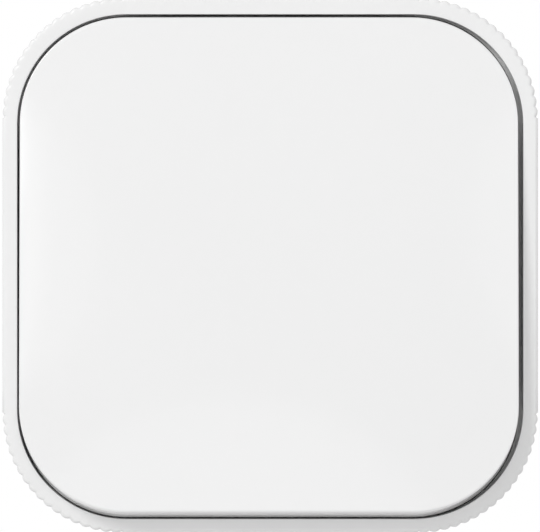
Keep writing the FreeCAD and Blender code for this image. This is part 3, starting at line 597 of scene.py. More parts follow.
FINISHES: tuple[Plastic | Metal, ...] = (
    Plastic(Slot.HOOD, (0.86, 0.86, 0.86), roughness=0.26, change=0.012, tone=0.005,
            grain=0.25, grain_height=0.0003, wave=15.0, wave_height=0.0008),
    Plastic(Slot.ROCKER, (0.87, 0.87, 0.87), roughness=0.055, change=0.01, tone=0.004,
            grain_height=0.00003, wave=18.0, wave_height=0.001),
    Plastic(Slot.BASE, (0.8, 0.8, 0.79), roughness=0.48, grain=0.22, grain_height=0.006,
            tone=0.02),
    Plastic(Slot.INSERT, (0.72, 0.71, 0.67), roughness=0.6, grain=0.18, grain_height=0.01,
            tone=0.04),
    Plastic(Slot.FRAME, (0.62, 0.63, 0.64), roughness=0.5, grain=0.2, grain_height=0.006,
            tone=0.03),
    Plastic(Slot.CARRIER, (0.78, 0.77, 0.72), roughness=0.45, grain=0.25, tone=0.03),
    Plastic(Slot.PLUNGER, (0.035, 0.035, 0.037), roughness=0.4, grain=0.2, tone=0.1),
    Plastic(Slot.RETAINER, (0.45, 0.09, 0.05), roughness=0.7, grain=0.12, grain_height=0.02,
            tone=0.15),
    Metal(Slot.ZINC, (0.62, 0.62, 0.6)),
    Metal(Slot.STEEL, (0.66, 0.66, 0.67), roughness=0.22, grain_height=0.0006),
    Metal(Slot.BRASS, (0.78, 0.62, 0.32), roughness=0.3),
    Metal(Slot.SILVER, (0.85, 0.85, 0.84), roughness=0.18, run=1.0),
)


class Palette:
    """The materials of the switch by slot."""

    def __init__(self, finishes: Iterable[Plastic | Metal]) -> None:
        """Make every finish's material.

        Args:
            finishes: The finishes.
        """
        self.materials = {finish.slot: finish.material() for finish in finishes}

    def dress(self, piece: Piece, slot: Slot) -> None:
        """Give a piece the material of a slot.

        Args:
            piece: The piece.
            slot: The slot.
        """
        piece.data.materials.clear()
        piece.data.materials.append(self.materials[slot])


class GeometryTree(NodeTree):
    """A Geometry Nodes tree with named inputs, which takes and gives geometry."""

    def __init__(self, name: str) -> None:
        """Start the tree.

        Args:
            name: The tree's name.
        """
        self.group = bpy.data.node_groups.new(name, "GeometryNodeTree")
        super().__init__(self.group)
        for way in ("INPUT", "OUTPUT"):
            self.group.interface.new_socket("Geometry", in_out=way,
                                            socket_type="NodeSocketGeometry")
        self.values: dict[str, float] = {}
        self.entry = self.add("NodeGroupInput")
        self.end = self.add("NodeGroupOutput")

    def size(self, name: str, value: float) -> Socket:
        """A named number that the modifier sets.

        Args:
            name: The input's name.
            value: Its value, in metres, degrees or as a count.

        Returns:
            The socket inside the tree.
        """
        if name not in self.values:
            self.group.interface.new_socket(name, in_out="INPUT",
                                            socket_type="NodeSocketFloat")
            self.values[name] = value
        return self.entry.outputs[name]

    def vector(self, x: Any, y: Any, z: Any) -> Socket:
        """A vector from three numbers or sockets."""
        return self.add("ShaderNodeCombineXYZ", X=x, Y=y, Z=z).outputs[0]

    def apply(self, piece: Piece, result: Socket, material: bpy.types.Material) -> Piece:
        """End the tree, run it on a piece and keep the mesh that it makes.

        Args:
            piece: The object whose mesh enters the tree.
            result: The finished geometry.
            material: The material that the whole piece gets.

        Returns:
            The same piece with a plain mesh.
        """
        realized = self.add("GeometryNodeRealizeInstances", Geometry=result)
        painted = self.add("GeometryNodeSetMaterial", Geometry=realized.outputs[0],
                           Material=material)
        self.feed(self.end.inputs[0], painted.outputs[0])
        modifier = piece.modifiers.new(self.group.name, "NODES")
        modifier.node_group = self.group
        for item in self.group.interface.items_tree:
            if item.name in self.values and item.in_out == "INPUT":
                modifier[item.identifier] = float(self.values[item.name])
        return apply_modifiers(piece)


@dataclass
class Hood:
    """The square hood: a wall with ribbed corners, a rim, and a deck under the rocker.

    Attributes:
        corner: The radius of its outer corners.
        wall: The thickness of its side walls at the rim.
        end_wall: The thickness of its top and bottom walls there.
        opening_corner: The radius of the corners of its opening.
        opening_shift: How far the opening lies above the middle.
        back_wall: The thickness of all walls behind the deck.
        back_corner: The radius of the corners of the room behind the deck.
        edge: The radius of the rim's outer edge.
        opening_edge: The radius of the rim's inner edge.
        back_edge: The radius of the edges at the wall.
        deck_sink: How far the deck lies behind the rim.
        deck_thickness: The deck's thickness.
        deck_fillet: The radius between deck and wall.
        ledge_sink: How far the ledge inside the opening lies behind the rim in the corners.
        ledge_dip: How much further back it lies along the straight sides.
        ledge_run: How far from a corner it has sunk by that much.
        ledge_side: How far that ledge stands in at the left and the right.
        ledge_end: How far it stands in at the top and the bottom.
        ledge_shift_x: How far right the ledge lies in the opening, as the rocker in it does.
        ledge_shift_z: How far up it lies in the opening.
        window_x: The width of the deck's window.
        window_z: The height of the deck's window.
        window_corner: The radius of the window's corners.
        rib_count: How many ribs each corner has.
        rib_pitch: The angle from rib to rib, in degrees.
        rib_height: How far the ribs stand out of the valleys between them.
        rib_steps: How many faces each rib has round the corner.
        side_steps: How many steps each straight side has.
        edge_steps: How many steps the rim's outer edge has.
        opening_steps: How many steps the rim's inner edge has.
        fillet_steps: How many steps the fillet in front of the deck has.
        back_steps: How many steps the edge at the wall and the fillet behind the deck have.
        soft_steps: How many steps the edges of the window and of the room behind it have.
        round_steps: How many sides the round bodies at the screws have.
        wall_shares: Where rings lie along the outside, as shares of its depth.
        rib_margin: How much further than their count the ribs reach, in ribs.
        rim_plain: How wide the part of the rim is that the ribs fade out on.
        notch_width: The width of the cable entries.
        notch_front: How far in front of the wall the cable entries end.
        boss_radius: The radius of the screw bosses.
        boss_length: The length of the screw bosses behind the deck.
        screw_place: How far along X and Z the screws lie from the middle.
        recess_radius: The radius of the recess for a screw's head.
        recess_sink: How deep that recess is.
        shank_radius: The radius of the hole for a screw's shank.
        retainer_radius: The radius of the recess for the screw's retaining ring.
        retainer_sink: How deep that recess is.
    """

    corner: float = 14.9
    wall: float = 1.83
    end_wall: float = 1.92
    opening_corner: float = 13.45
    opening_shift: float = -0.14
    back_wall: float = 1.8
    back_corner: float = 13.66
    edge: float = 0.45
    opening_edge: float = 0.1
    back_edge: float = 0.2
    deck_sink: float = 8.0
    deck_thickness: float = 2.0
    deck_fillet: float = 0.4
    ledge_sink: float = 3.0
    ledge_dip: float = 2.0
    ledge_run: float = 6.0
    ledge_side: float = 0.36
    ledge_end: float = 0.09
    ledge_shift_x: float = -0.15
    ledge_shift_z: float = -0.08
    window_x: float = 44.0
    window_z: float = 30.0
    window_corner: float = 2.0
    rib_count: int = 17
    rib_pitch: float = 5.2
    rib_height: float = 0.24
    rib_steps: int = 8
    side_steps: int = 10
    edge_steps: int = 6
    opening_steps: int = 5
    fillet_steps: int = 4
    back_steps: int = 3
    soft_steps: int = 2
    round_steps: int = 64
    wall_shares: tuple[float, ...] = (0.25, 0.5, 0.75)
    rib_margin: float = 0.01
    rim_plain: float = 0.8
    notch_width: float = 18.0
    notch_front: float = 17.0
    boss_radius: float = 3.8
    boss_length: float = 3.0
    screw_place: float = 24.088
    recess_radius: float = 3.1
    recess_sink: float = 3.0
    shank_radius: float = 1.7
    retainer_radius: float = 2.52
    retainer_sink: float = 0.72

    def __post_init__(self) -> None:
        """Read the hood's size from the frame."""
        low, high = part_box("hood")
        self.half = high.x / MM
        self.front = -low.y / MM
        self.back = -high.y / MM
        self.outer = Outline(self.half, self.half, self.corner)
        self.opening = Outline(self.half - self.wall, self.half - self.end_wall,
                               self.opening_corner, middle_z=self.opening_shift)
        self.room = Outline(self.half - self.back_wall, self.half - self.back_wall,
                            self.back_corner)
        self.ledge_level = self.front - self.ledge_sink
        self.deck_front = self.front - self.deck_sink
        self.deck_back = self.deck_front - self.deck_thickness

    def angles(self) -> list[float]:
        """Find where points lie round a corner: close together along the ribs.

        Returns:
            The angles, in degrees from the corner's start.
        """
        reach = self.rib_count * self.rib_pitch / 2
        count = self.rib_count * self.rib_steps
        ribs = [45 - reach + 2 * reach * step / count for step in range(count + 1)]
        return [0.0, *ribs, 90.0]

    def dip(self, x: float, z: float) -> float:
        """Find how much further back the ledge lies at a place than in the corners.

        Args:
            x: The place along X.
            z: The place along Z.

        Returns:
            The distance.
        """
        past = self.opening.half_x - self.opening.corner - min(abs(x), abs(z))
        share = min(max(past / self.ledge_run, 0.0), 1.0)
        return self.ledge_dip * share * share * (3 - 2 * share)

    def section(self) -> list[tuple[Outline, float]]:
        """Find the wall's and deck's section.

        Returns:
            Outlines with their depths, from the outer edge at the wall to the inner one.
        """
        rings = [(self.outer.inset(a), self.back + b) for a, b in
                 reversed(arc_steps(self.back_edge, self.back_steps))]
        rings += [(self.outer, self.back + (self.front - self.back) * share)
                  for share in self.wall_shares]
        rings += [(self.outer.inset(a), self.front - b) for a, b in
                  arc_steps(self.edge, self.edge_steps)]
        rings += [(self.outer.inset(self.edge + self.rim_plain / 2), self.front)]
        rings += [(self.opening.inset(-b), self.front - a) for a, b in
                  arc_steps(self.opening_edge, self.opening_steps)]
        ledge = Outline(self.opening.half_x - self.ledge_side,
                        self.opening.half_z - self.ledge_end,
                        self.opening.corner - self.ledge_side, self.ledge_shift_x,
                        self.ledge_shift_z + self.opening_shift)
        level = self.ledge_level
        corner = self.opening_edge / 2
        rings += [(self.opening, level + corner), (self.opening.inset(corner), level)]
        rings += [(ledge.inset(-corner / 2), level), (ledge, level - corner)]
        rings += [(ledge.inset(a), self.deck_front + b) for a, b in
                  arc_steps(self.deck_fillet, self.fillet_steps)]
        window = Outline(self.window_x / 2, self.window_z / 2, self.window_corner)
        soft = arc_steps(self.back_edge, self.soft_steps)
        rings += [(window.inset(-b), self.deck_front - a) for a, b in soft]
        rings += [(window.inset(-a), self.deck_back + b) for a, b in soft]
        rings += [(self.room.inset(b), self.deck_back - a) for a, b in
                  arc_steps(self.deck_fillet, self.back_steps)]
        rings += [(self.room.inset(-a), self.back + b) for a, b in soft]
        return rings

    def loop(self, outline: Outline, depth: float) -> Loop:
        """Find the points of one ring, which dip where they lie on the ledge.

        Args:
            outline: The ring's outline.
            depth: Its depth in front of the wall.

        Returns:
            Its points.
        """
        on_ledge = abs(depth - self.ledge_level) < self.opening_edge
        return [Vector((x, self.dip(x, z) * on_ledge - depth, z))
                for x, z in outline.points(self.angles(), self.side_steps)]

    def build(self, palette: Palette) -> Piece:
        """Make the hood.

        Args:
            palette: The materials.

        Returns:
            The finished piece.
        """
        shape = bmesh.new()
        loft(shape, [self.loop(*ring) for ring in self.section()], closed=True)
        bmesh.ops.recalc_face_normals(shape, faces=shape.faces)
        piece = mesh_object("hood_shell", shape)
        tree = GeometryTree("ribbed hood")
        ribbed = self.ribs(tree)
        with_bosses = tree.add("GeometryNodeMeshBoolean", {"operation": "UNION"})
        tree.feed(with_bosses.inputs[1], ribbed)
        tree.feed(with_bosses.inputs[1], self.discs(
            tree, "Boss", self.boss_radius, self.deck_back - self.boss_length,
            self.deck_back + self.deck_thickness / 2))
        cut = tree.add("GeometryNodeMeshBoolean", {"operation": "DIFFERENCE"})
        tree.feed(cut.inputs[0], with_bosses.outputs[0])
        tree.feed(cut.inputs[1], self.cutters(tree))
        tree.apply(piece, cut.outputs[0], palette.materials[Slot.HOOD])
        finish_mesh(piece, COVER_TURN)
        palette.dress(piece, Slot.HOOD)
        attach(piece, "housing")
        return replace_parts(piece, "hood")

    def ribs(self, tree: GeometryTree) -> Socket:
        """Press valleys into the outer corners, which leaves round ribs between them.

        Args:
            tree: The tree that they are added to.

        Returns:
            The ribbed geometry.
        """
        less, times = partial(tree.math, "SUBTRACT"), partial(tree.math, "MULTIPLY")
        absolute, above = partial(tree.math, "ABSOLUTE"), partial(tree.math, "GREATER_THAN")
        place = tree.add("GeometryNodeInputPosition").outputs[0]
        parts = tree.add("ShaderNodeSeparateXYZ", Vector=place).outputs
        centre = tree.size("Corner Centre", (self.half - self.corner) * MM)
        over_x, over_z = less(absolute(parts[0]), centre), less(absolute(parts[2]), centre)
        inside = times(above(over_x, 0.0), above(over_z, 0.0))
        angle = tree.math("DEGREES", tree.math("ARCTAN2", over_z, over_x))
        reach = tree.math("SQRT", tree.math("ADD", times(over_x, over_x),
                                            times(over_z, over_z)))
        phase = tree.math("DIVIDE", less(angle, 45.0), tree.size("Rib Pitch", self.rib_pitch))
        wave = absolute(tree.math("COSINE", times(phase, math.pi)))
        limit = tree.math("ADD", times(tree.size("Rib Count", self.rib_count), 0.5),
                          self.rib_margin)
        ribbed = tree.math("LESS_THAN", absolute(phase), limit)
        rim = less(tree.size("Corner Radius", self.corner * MM),
                   tree.size("Rim Edge", self.edge * MM))
        plain = tree.size("Rim Plain", self.rim_plain * MM)
        fade = tree.add("ShaderNodeMapRange", {"interpolation_type": "SMOOTHSTEP"}, Value=reach,
                        From_Min=less(rim, plain), From_Max=rim)
        sink = times(tree.size("Rib Height", self.rib_height * MM), less(1.0, wave))
        sink = times(times(sink, times(inside, ribbed)), fade.outputs["Result"])
        share = tree.math("DIVIDE", sink, tree.math("MAXIMUM", reach, LEAST_LENGTH))
        move_x, move_z = (times(times(times(over, share), tree.math("SIGN", part)), -1.0)
                          for over, part in ((over_x, parts[0]), (over_z, parts[2])))
        moved = tree.add("GeometryNodeSetPosition", Geometry=tree.entry.outputs["Geometry"],
                         Offset=tree.vector(move_x, 0.0, move_z))
        return moved.outputs[0]

    def discs(self, tree: GeometryTree, name: str, radius: float, back: float,
              front: float) -> Socket:
        """Make round bodies at the two screws.

        Args:
            tree: The tree that they are added to.
            name: What they are, for the tree's input.
            radius: Their radius.
            back: The depth of their back.
            front: The depth of their front.

        Returns:
            Their geometry.
        """
        disc = tree.add("GeometryNodeMeshCylinder", Vertices=self.round_steps,
                        Radius=tree.size(f"{name} Radius", radius * MM),
                        Depth=(front - back) * MM)
        joined = tree.add("GeometryNodeJoinGeometry")
        for side in (1, -1):
            place = side * self.screw_place * MM
            turned = tree.add("GeometryNodeTransform", Geometry=disc.outputs["Mesh"],
                              Translation=(place, -(front + back) / 2 * MM, place),
                              Rotation=(math.pi / 2, 0.0, 0.0))
            tree.feed(joined.inputs[0], turned.outputs[0])
        return joined.outputs[0]

    def cutters(self, tree: GeometryTree) -> Socket:
        """Make what is cut out of the hood: the cable entries and the room for the screws.

        Args:
            tree: The tree that it is added to.

        Returns:
            Its geometry.
        """
        boss_back = self.deck_back - self.boss_length
        seat = self.deck_front - self.recess_sink
        over = 1.0
        joined = tree.add("GeometryNodeJoinGeometry")
        for name, radius, back, front in (
            ("Recess", self.recess_radius, seat, self.deck_front + over),
            ("Shank", self.shank_radius, boss_back - over, seat + over / 2),
            ("Retainer", self.retainer_radius, boss_back - over / 2,
             boss_back + self.retainer_sink),
        ):
            tree.feed(joined.inputs[0], self.discs(tree, name, radius, back, front))
        width = tree.size("Entry Width", self.notch_width * MM)
        front = tree.size("Entry Front", self.notch_front * MM)
        block = tree.add("GeometryNodeMeshCube", Size=tree.vector(
            width, tree.math("MULTIPLY", front, 2.0), 2 * (self.wall + over) * MM))
        for side in Side:
            moved = tree.add("GeometryNodeTransform", Geometry=block.outputs["Mesh"],
                             Translation=(0.0, 0.0, side.value * self.half * MM))
            tree.feed(joined.inputs[0], moved.outputs[0])
        return joined.outputs[0]


@dataclass
class RockerCover:
    """The wide rocker: upright sides, rounded ends and a shallow crown, hollow behind.

    Attributes:
        side_gap: The gap to the hood's opening on the left and the right, at the face.
        end_gap: The gap at the top and the bottom, at the face.
        corner: The radius of the face's corners.
        shift_x: How far it sits off the middle to the right, within its play.
        shift_z: How far it sits above the middle.
        face_front: The depth of the face's edge in front of the pivot.
        crown: How far the middle of the face stands out.
        side_edge: The radius of the face's edge on the left and the right.
        end_edge: The radius of its edge at the top and the bottom.
        side_spread: How far the sides spread towards the back.
        end_spread: How far the ends spread towards the back.
        bend: The depth at which they stop spreading.
        skirt: How far back the skirt reaches from the face.
        wall: The skirt's thickness.
        front_wall: The front wall's thickness.
        skirt_edge: The radius of the skirt's back edge.
        corner_steps: How many steps each corner has.
        side_steps: How many steps each straight side has.
        edge_steps: How many steps the face's edge has.
        face_steps: How many rings of faces cover the face.
        clip_x: Half of the width of a clip.
        clip_near: Where the clips begin above and below the middle.
        clip_wall: A clip's thickness.
        clip_back: The depth that the clips reach back to.
        clip_nose: How far a clip's nose hooks in.
        nose_front: The depth of a nose's front.
        clip_lap: How far a nose reaches into its clip.
        clip_edge: The width of the clips' bevels.
        skirt_steps: How many steps the skirt's back edge has.
        face_start: Where the face's first ring lies, in steps from its middle.
        face_power: How the rings crowd towards the face's edge, where 1 is evenly.
    """

    side_gap: float = 0.51
    end_gap: float = 0.58
    corner: float = 13.08
    shift_x: float = -0.15
    shift_z: float = -0.22
    face_front: float = 5.25
    crown: float = 0.5
    side_edge: float = 0.15
    end_edge: float = 0.4
    side_spread: float = 0.04
    end_spread: float = 0.4
    bend: float = 0.85
    skirt: float = 6.5
    wall: float = 1.8
    front_wall: float = 2.2
    skirt_edge: float = 0.25
    corner_steps: int = 28
    side_steps: int = 16
    edge_steps: int = 8
    face_steps: int = 16
    clip_x: float = 4.0
    clip_near: float = 13.1
    clip_wall: float = 1.2
    clip_back: float = 0.6
    clip_nose: float = 0.8
    nose_front: float = 1.7
    clip_lap: float = 0.2
    clip_edge: float = 0.15
    skirt_steps: int = 3
    face_start: float = 0.35
    face_power: float = 0.8

    def __post_init__(self) -> None:
        """Work out the depth of the inside of the front wall."""
        self.inner_front = self.face_front - self.front_wall

    def outline(self, opening: Outline, depth: float) -> Outline:
        """Find the skirt's outline.

        Args:
            opening: The hood's opening.
            depth: The outline's depth in front of the pivot.

        Returns:
            The outline.
        """
        share = min((self.face_front - depth) / (self.face_front - self.bend), 1.0)
        side = self.side_spread * share
        return Outline(opening.half_x - self.side_gap + side,
                       opening.half_z - self.end_gap + self.end_spread * share,
                       self.corner + side)

    def crown_radius(self, half: float) -> float:
        """The radius of the crowned face, which is as high as the crown over half its width."""
        return (half ** 2 + self.crown ** 2) / (2 * self.crown)

    def dome(self, x: float, z: float, half: float) -> float:
        """The depth of the crowned face at a place."""
        radius = self.crown_radius(half)
        return self.face_front + self.crown - radius + math.sqrt(radius ** 2 - x * x - z * z)

    def edge_arcs(self, opening: Outline) -> list[Loop]:
        """Find, for each point round the face, the arc that leads from the face to the skirt.

        Args:
            opening: The hood's opening.

        Returns:
            The arcs, in order round the face.
        """
        angles = even_angles(self.corner_steps)
        face = self.outline(opening, self.face_front)
        half = face.half_x
        radius = self.crown_radius(half)
        at_face = face.points(angles, self.side_steps)
        inside = face.inset(1.0).points(angles, self.side_steps)
        at_bend = self.outline(opening, self.bend).points(angles, self.side_steps)
        arcs = []
        for (x, z), (in_x, in_z), (far_x, far_z) in zip(at_face, inside, at_bend):
            out_x, out_z = x - in_x, z - in_z
            spread = (far_x - x) * out_x + (far_z - z) * out_z
            lean = math.atan2(spread, self.face_front - self.bend)
            slope = math.asin((x * out_x + z * out_z) / radius)
            edge = self.side_edge + (self.end_edge - self.side_edge) * out_z ** 2
            drop = self.face_front - self.dome(x, z, half)
            cover = edge - drop * math.sin(lean)
            scale = math.cos(lean + slope)
            inward = (cover * math.cos(slope) - edge * math.sin(lean)) / scale
            down = (edge * math.cos(lean) - cover * math.sin(slope)) / scale
            depth = self.face_front - drop - down
            arc = []
            for step in range(self.edge_steps + 1):
                share = step / self.edge_steps
                turn = (math.pi / 2 - slope) * (1 - share) + lean * share
                reach = edge * math.cos(turn) - inward
                arc.append(Vector((x + reach * out_x, -depth - edge * math.sin(turn),
                                   z + reach * out_z)))
            arcs.append(arc)
        return arcs

    def loops(self, opening: Outline) -> list[Loop]:
        """Find the rocker's skin from the middle of its face round the skirt to its inside.

        Args:
            opening: The hood's opening.

        Returns:
            The skin's loops.
        """
        arcs = self.edge_arcs(opening)
        half = opening.half_x - self.side_gap
        loops: list[Loop] = []
        for step in range(self.face_steps):
            share = ((step + self.face_start) / self.face_steps) ** self.face_power
            places = [(arc[0].x * share, arc[0].z * share) for arc in arcs]
            loops.append([Vector((x, -self.dome(x, z, half), z)) for x, z in places])
        loops += [[arc[step] for arc in arcs] for step in range(self.edge_steps + 1)]
        back = self.face_front - self.skirt
        outside = self.outline(opening, back)
        inside = outside.inset(self.wall)
        turns = arc_steps(self.skirt_edge, self.skirt_steps)
        loops.append(self.flat_loop(self.outline(opening, self.bend), self.bend))
        loops += [self.flat_loop(outside.inset(a), back + b) for a, b in turns]
        loops += [self.flat_loop(inside.inset(-b), back + a) for a, b in turns]
        loops += [self.flat_loop(inside.inset(a), self.inner_front - b) for a, b in turns]
        return loops

    def flat_loop(self, outline: Outline, depth: float) -> Loop:
        """A loop at one depth in front of the pivot."""
        angles = even_angles(self.corner_steps)
        return [Vector((x, -depth, z)) for x, z in outline.points(angles, self.side_steps)]

    def build(self, palette: Palette, opening: Outline) -> Piece:
        """Make the rocker's cover.

        Args:
            palette: The materials.
            opening: The hood's opening, which it fills.

        Returns:
            The finished piece.
        """
        shape = bmesh.new()
        loft(shape, self.loops(opening), closed=False)
        bmesh.ops.translate(shape, vec=Vector((self.shift_x, 0, self.shift_z)) * MM,
                            verts=shape.verts)
        for side in Side:
            for near, far, front in ((0, self.clip_wall, self.inner_front),
                                     (-self.clip_nose, self.clip_lap, self.nose_front)):
                ends = sorted(side.value * (self.clip_near + reach) for reach in (near, far))
                add_box(shape, (-self.clip_x, -front, ends[0]),
                        (self.clip_x, -self.clip_back, ends[1]), self.clip_edge)
        bmesh.ops.transform(shape, matrix=rocker_place(), verts=shape.verts)
        piece = mesh_object("rocker_paddle", shape)
        finish_mesh(piece, COVER_TURN)
        palette.dress(piece, Slot.ROCKER)
        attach(piece, "rocker")
        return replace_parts(piece, "rocker_cover")


@dataclass
class Shells:
    """The moulded pieces that keep the frame's shape and get soft edges.

    Attributes:
        edge: The width of the soft edges.
        mark_count: How many ejector marks the mould left on the back.
        mark_circle: The radius of the circle that they lie on.
        mark_radius: Their radius.
        mark_sink: How deep they are.
        mark_steps: How many sides they have.
    """

    edge: float = 0.15
    mark_count: int = 6
    mark_circle: float = 17.0
    mark_radius: float = 2.0
    mark_sink: float = 0.12
    mark_steps: int = 48

    def marks(self, piece: Piece, material: bpy.types.Material) -> None:
        """Press the ejector marks into a piece's back.

        Args:
            piece: The piece.
            material: Its material.
        """
        tree = GeometryTree("ejector marks")
        circle = tree.add("GeometryNodeMeshCircle", Vertices=self.mark_count,
                          Radius=tree.size("Mark Circle", self.mark_circle * MM))
        turned = tree.add("GeometryNodeTransform", Geometry=circle.outputs["Mesh"],
                          Rotation=(math.pi / 2, 0.0, 0.0))
        disc = tree.add("GeometryNodeMeshCylinder", Vertices=self.mark_steps,
                        Radius=tree.size("Mark Radius", self.mark_radius * MM),
                        Depth=tree.math("MULTIPLY", tree.size("Mark Sink", self.mark_sink * MM),
                                        2.0))
        spread = tree.add("GeometryNodeInstanceOnPoints", Points=turned.outputs[0],
                          Instance=disc.outputs["Mesh"], Rotation=(math.pi / 2, 0.0, 0.0))
        solid = tree.add("GeometryNodeRealizeInstances", Geometry=spread.outputs[0])
        cut = tree.add("GeometryNodeMeshBoolean", {"operation": "DIFFERENCE"})
        tree.feed(cut.inputs[0], tree.entry.outputs["Geometry"])
        tree.feed(cut.inputs[1], solid.outputs[0])
        finish_mesh(tree.apply(piece, cut.outputs[0], material))

    def build(self, palette: Palette) -> list[Piece]:
        """Make the softened pieces.

        Args:
            palette: The materials.

        Returns:
            The finished pieces.
        """
        made = []
        for node, name, slot in (
            ("base_plate", "back_plate", Slot.BASE),
            ("entry_slide_top", "cable_slide_top", Slot.HOOD),
            ("entry_slide_bottom", "cable_slide_bottom", Slot.HOOD),
        ):
            piece = softened_copy(node, name, self.edge)
            if slot is Slot.BASE:
                self.marks(piece, palette.materials[slot])
            palette.dress(piece, slot)
            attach(piece, "housing")
            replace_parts(piece, node)
            made.append(piece)
        return made


@dataclass
class CoilSpring:
    """The spring in the rocker's barrel, which the plunger presses on, made at its length at rest.

    Attributes:
        wire: The thickness of its wire.
        radius: From the barrel's axis to the middle of the wire.
        turns: How many turns it has.
        seat: How far behind the rocker's pivot its fixed end lies.
        length: Its length at rest, with the wire.
        turn_steps: How many steps each turn has.
        wire_steps: How many sides the wire has.
    """

    wire: float = 0.5
    radius: float = 2.2
    turns: float = 5.0
    seat: float = 2.5
    length: float = 7.4
    turn_steps: int = 40
    wire_steps: int = 14

    def build(self, palette: Palette) -> Piece:
        """Make the spring.

        Args:
            palette: The materials.

        Returns:
            The finished piece.
        """
        tree = GeometryTree("wound wire")
        radius = tree.size("Coil Radius", self.radius * MM)
        path = tree.add("GeometryNodeCurveSpiral", Resolution=self.turn_steps, Reverse=True,
                        Rotations=tree.size("Turns", self.turns), Start_Radius=radius,
                        End_Radius=radius,
                        Height=tree.size("Rise", (self.length - self.wire) * MM))
        ring = tree.add("GeometryNodeCurvePrimitiveCircle", Resolution=self.wire_steps,
                        Radius=tree.size("Wire Radius", self.wire / 2 * MM))
        wound = tree.add("GeometryNodeCurveToMesh", Curve=path.outputs[0],
                         Profile_Curve=ring.outputs["Curve"], Fill_Caps=True)
        placed = tree.add("GeometryNodeTransform", Geometry=wound.outputs[0],
                          Translation=(0.0, (self.seat + self.wire / 2) * MM, 0.0),
                          Rotation=(-math.pi / 2, 0.0, 0.0))
        piece = mesh_object("coil_spring", bmesh.new())
        tree.apply(piece, placed.outputs[0], palette.materials[Slot.STEEL])
        place = rocker_place()
        piece.data.transform(place)
        finish_mesh(piece)
        palette.dress(piece, Slot.STEEL)
        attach(piece, "rocker")
        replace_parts(piece, "plunger_spring")
        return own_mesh(piece)


@dataclass(frozen=True)
class Mechanism:
    """The inner pieces, which keep the frame's shape and get their own finishes."""

    slots: tuple[tuple[str, Slot], ...] = (
        ("hood_screws", Slot.ZINC),
        ("screw_retainers", Slot.RETAINER),
        ("switch_insert", Slot.INSERT),
        ("bearing_frame", Slot.FRAME),
        ("insert_screws", Slot.ZINC),
        ("frame_rivets", Slot.BRASS),
        ("pivot_shaft", Slot.STEEL),
        ("rocker_carrier", Slot.CARRIER),
        ("plunger", Slot.PLUNGER),
        ("contact_blade", Slot.BRASS),
        ("moving_contacts", Slot.SILVER),
        ("fixed_contacts", Slot.SILVER),
        ("common_strip", Slot.BRASS),
        ("output_strip_upper", Slot.BRASS),
        ("output_strip_lower", Slot.BRASS),
        ("terminal_cages", Slot.BRASS),
        ("terminal_screws", Slot.ZINC),
    )

    def dress(self, palette: Palette) -> None:
        """Give each inner piece its finish.

        Args:
            palette: The materials.
        """
        for node, slot in self.slots:
            palette.dress(frame["nodes"][node], slot)
            LOG.info("dressed %s as %s", node, slot.value)


@dataclass(frozen=True)
class Panel:
    """A small oval lamp in front, which the glossy face mirrors.

    Attributes:
        name: The lamp's name.
        turn: Where it stands to the right of the middle, in degrees seen from the switch.
        rise: Where it stands above the middle, in degrees.
        wide: Its width, in degrees.
        high: Its height, in degrees.
        glow: How bright it is, where the white backdrop is 1.
    """

    name: str
    turn: float
    rise: float
    wide: float
    high: float
    glow: float


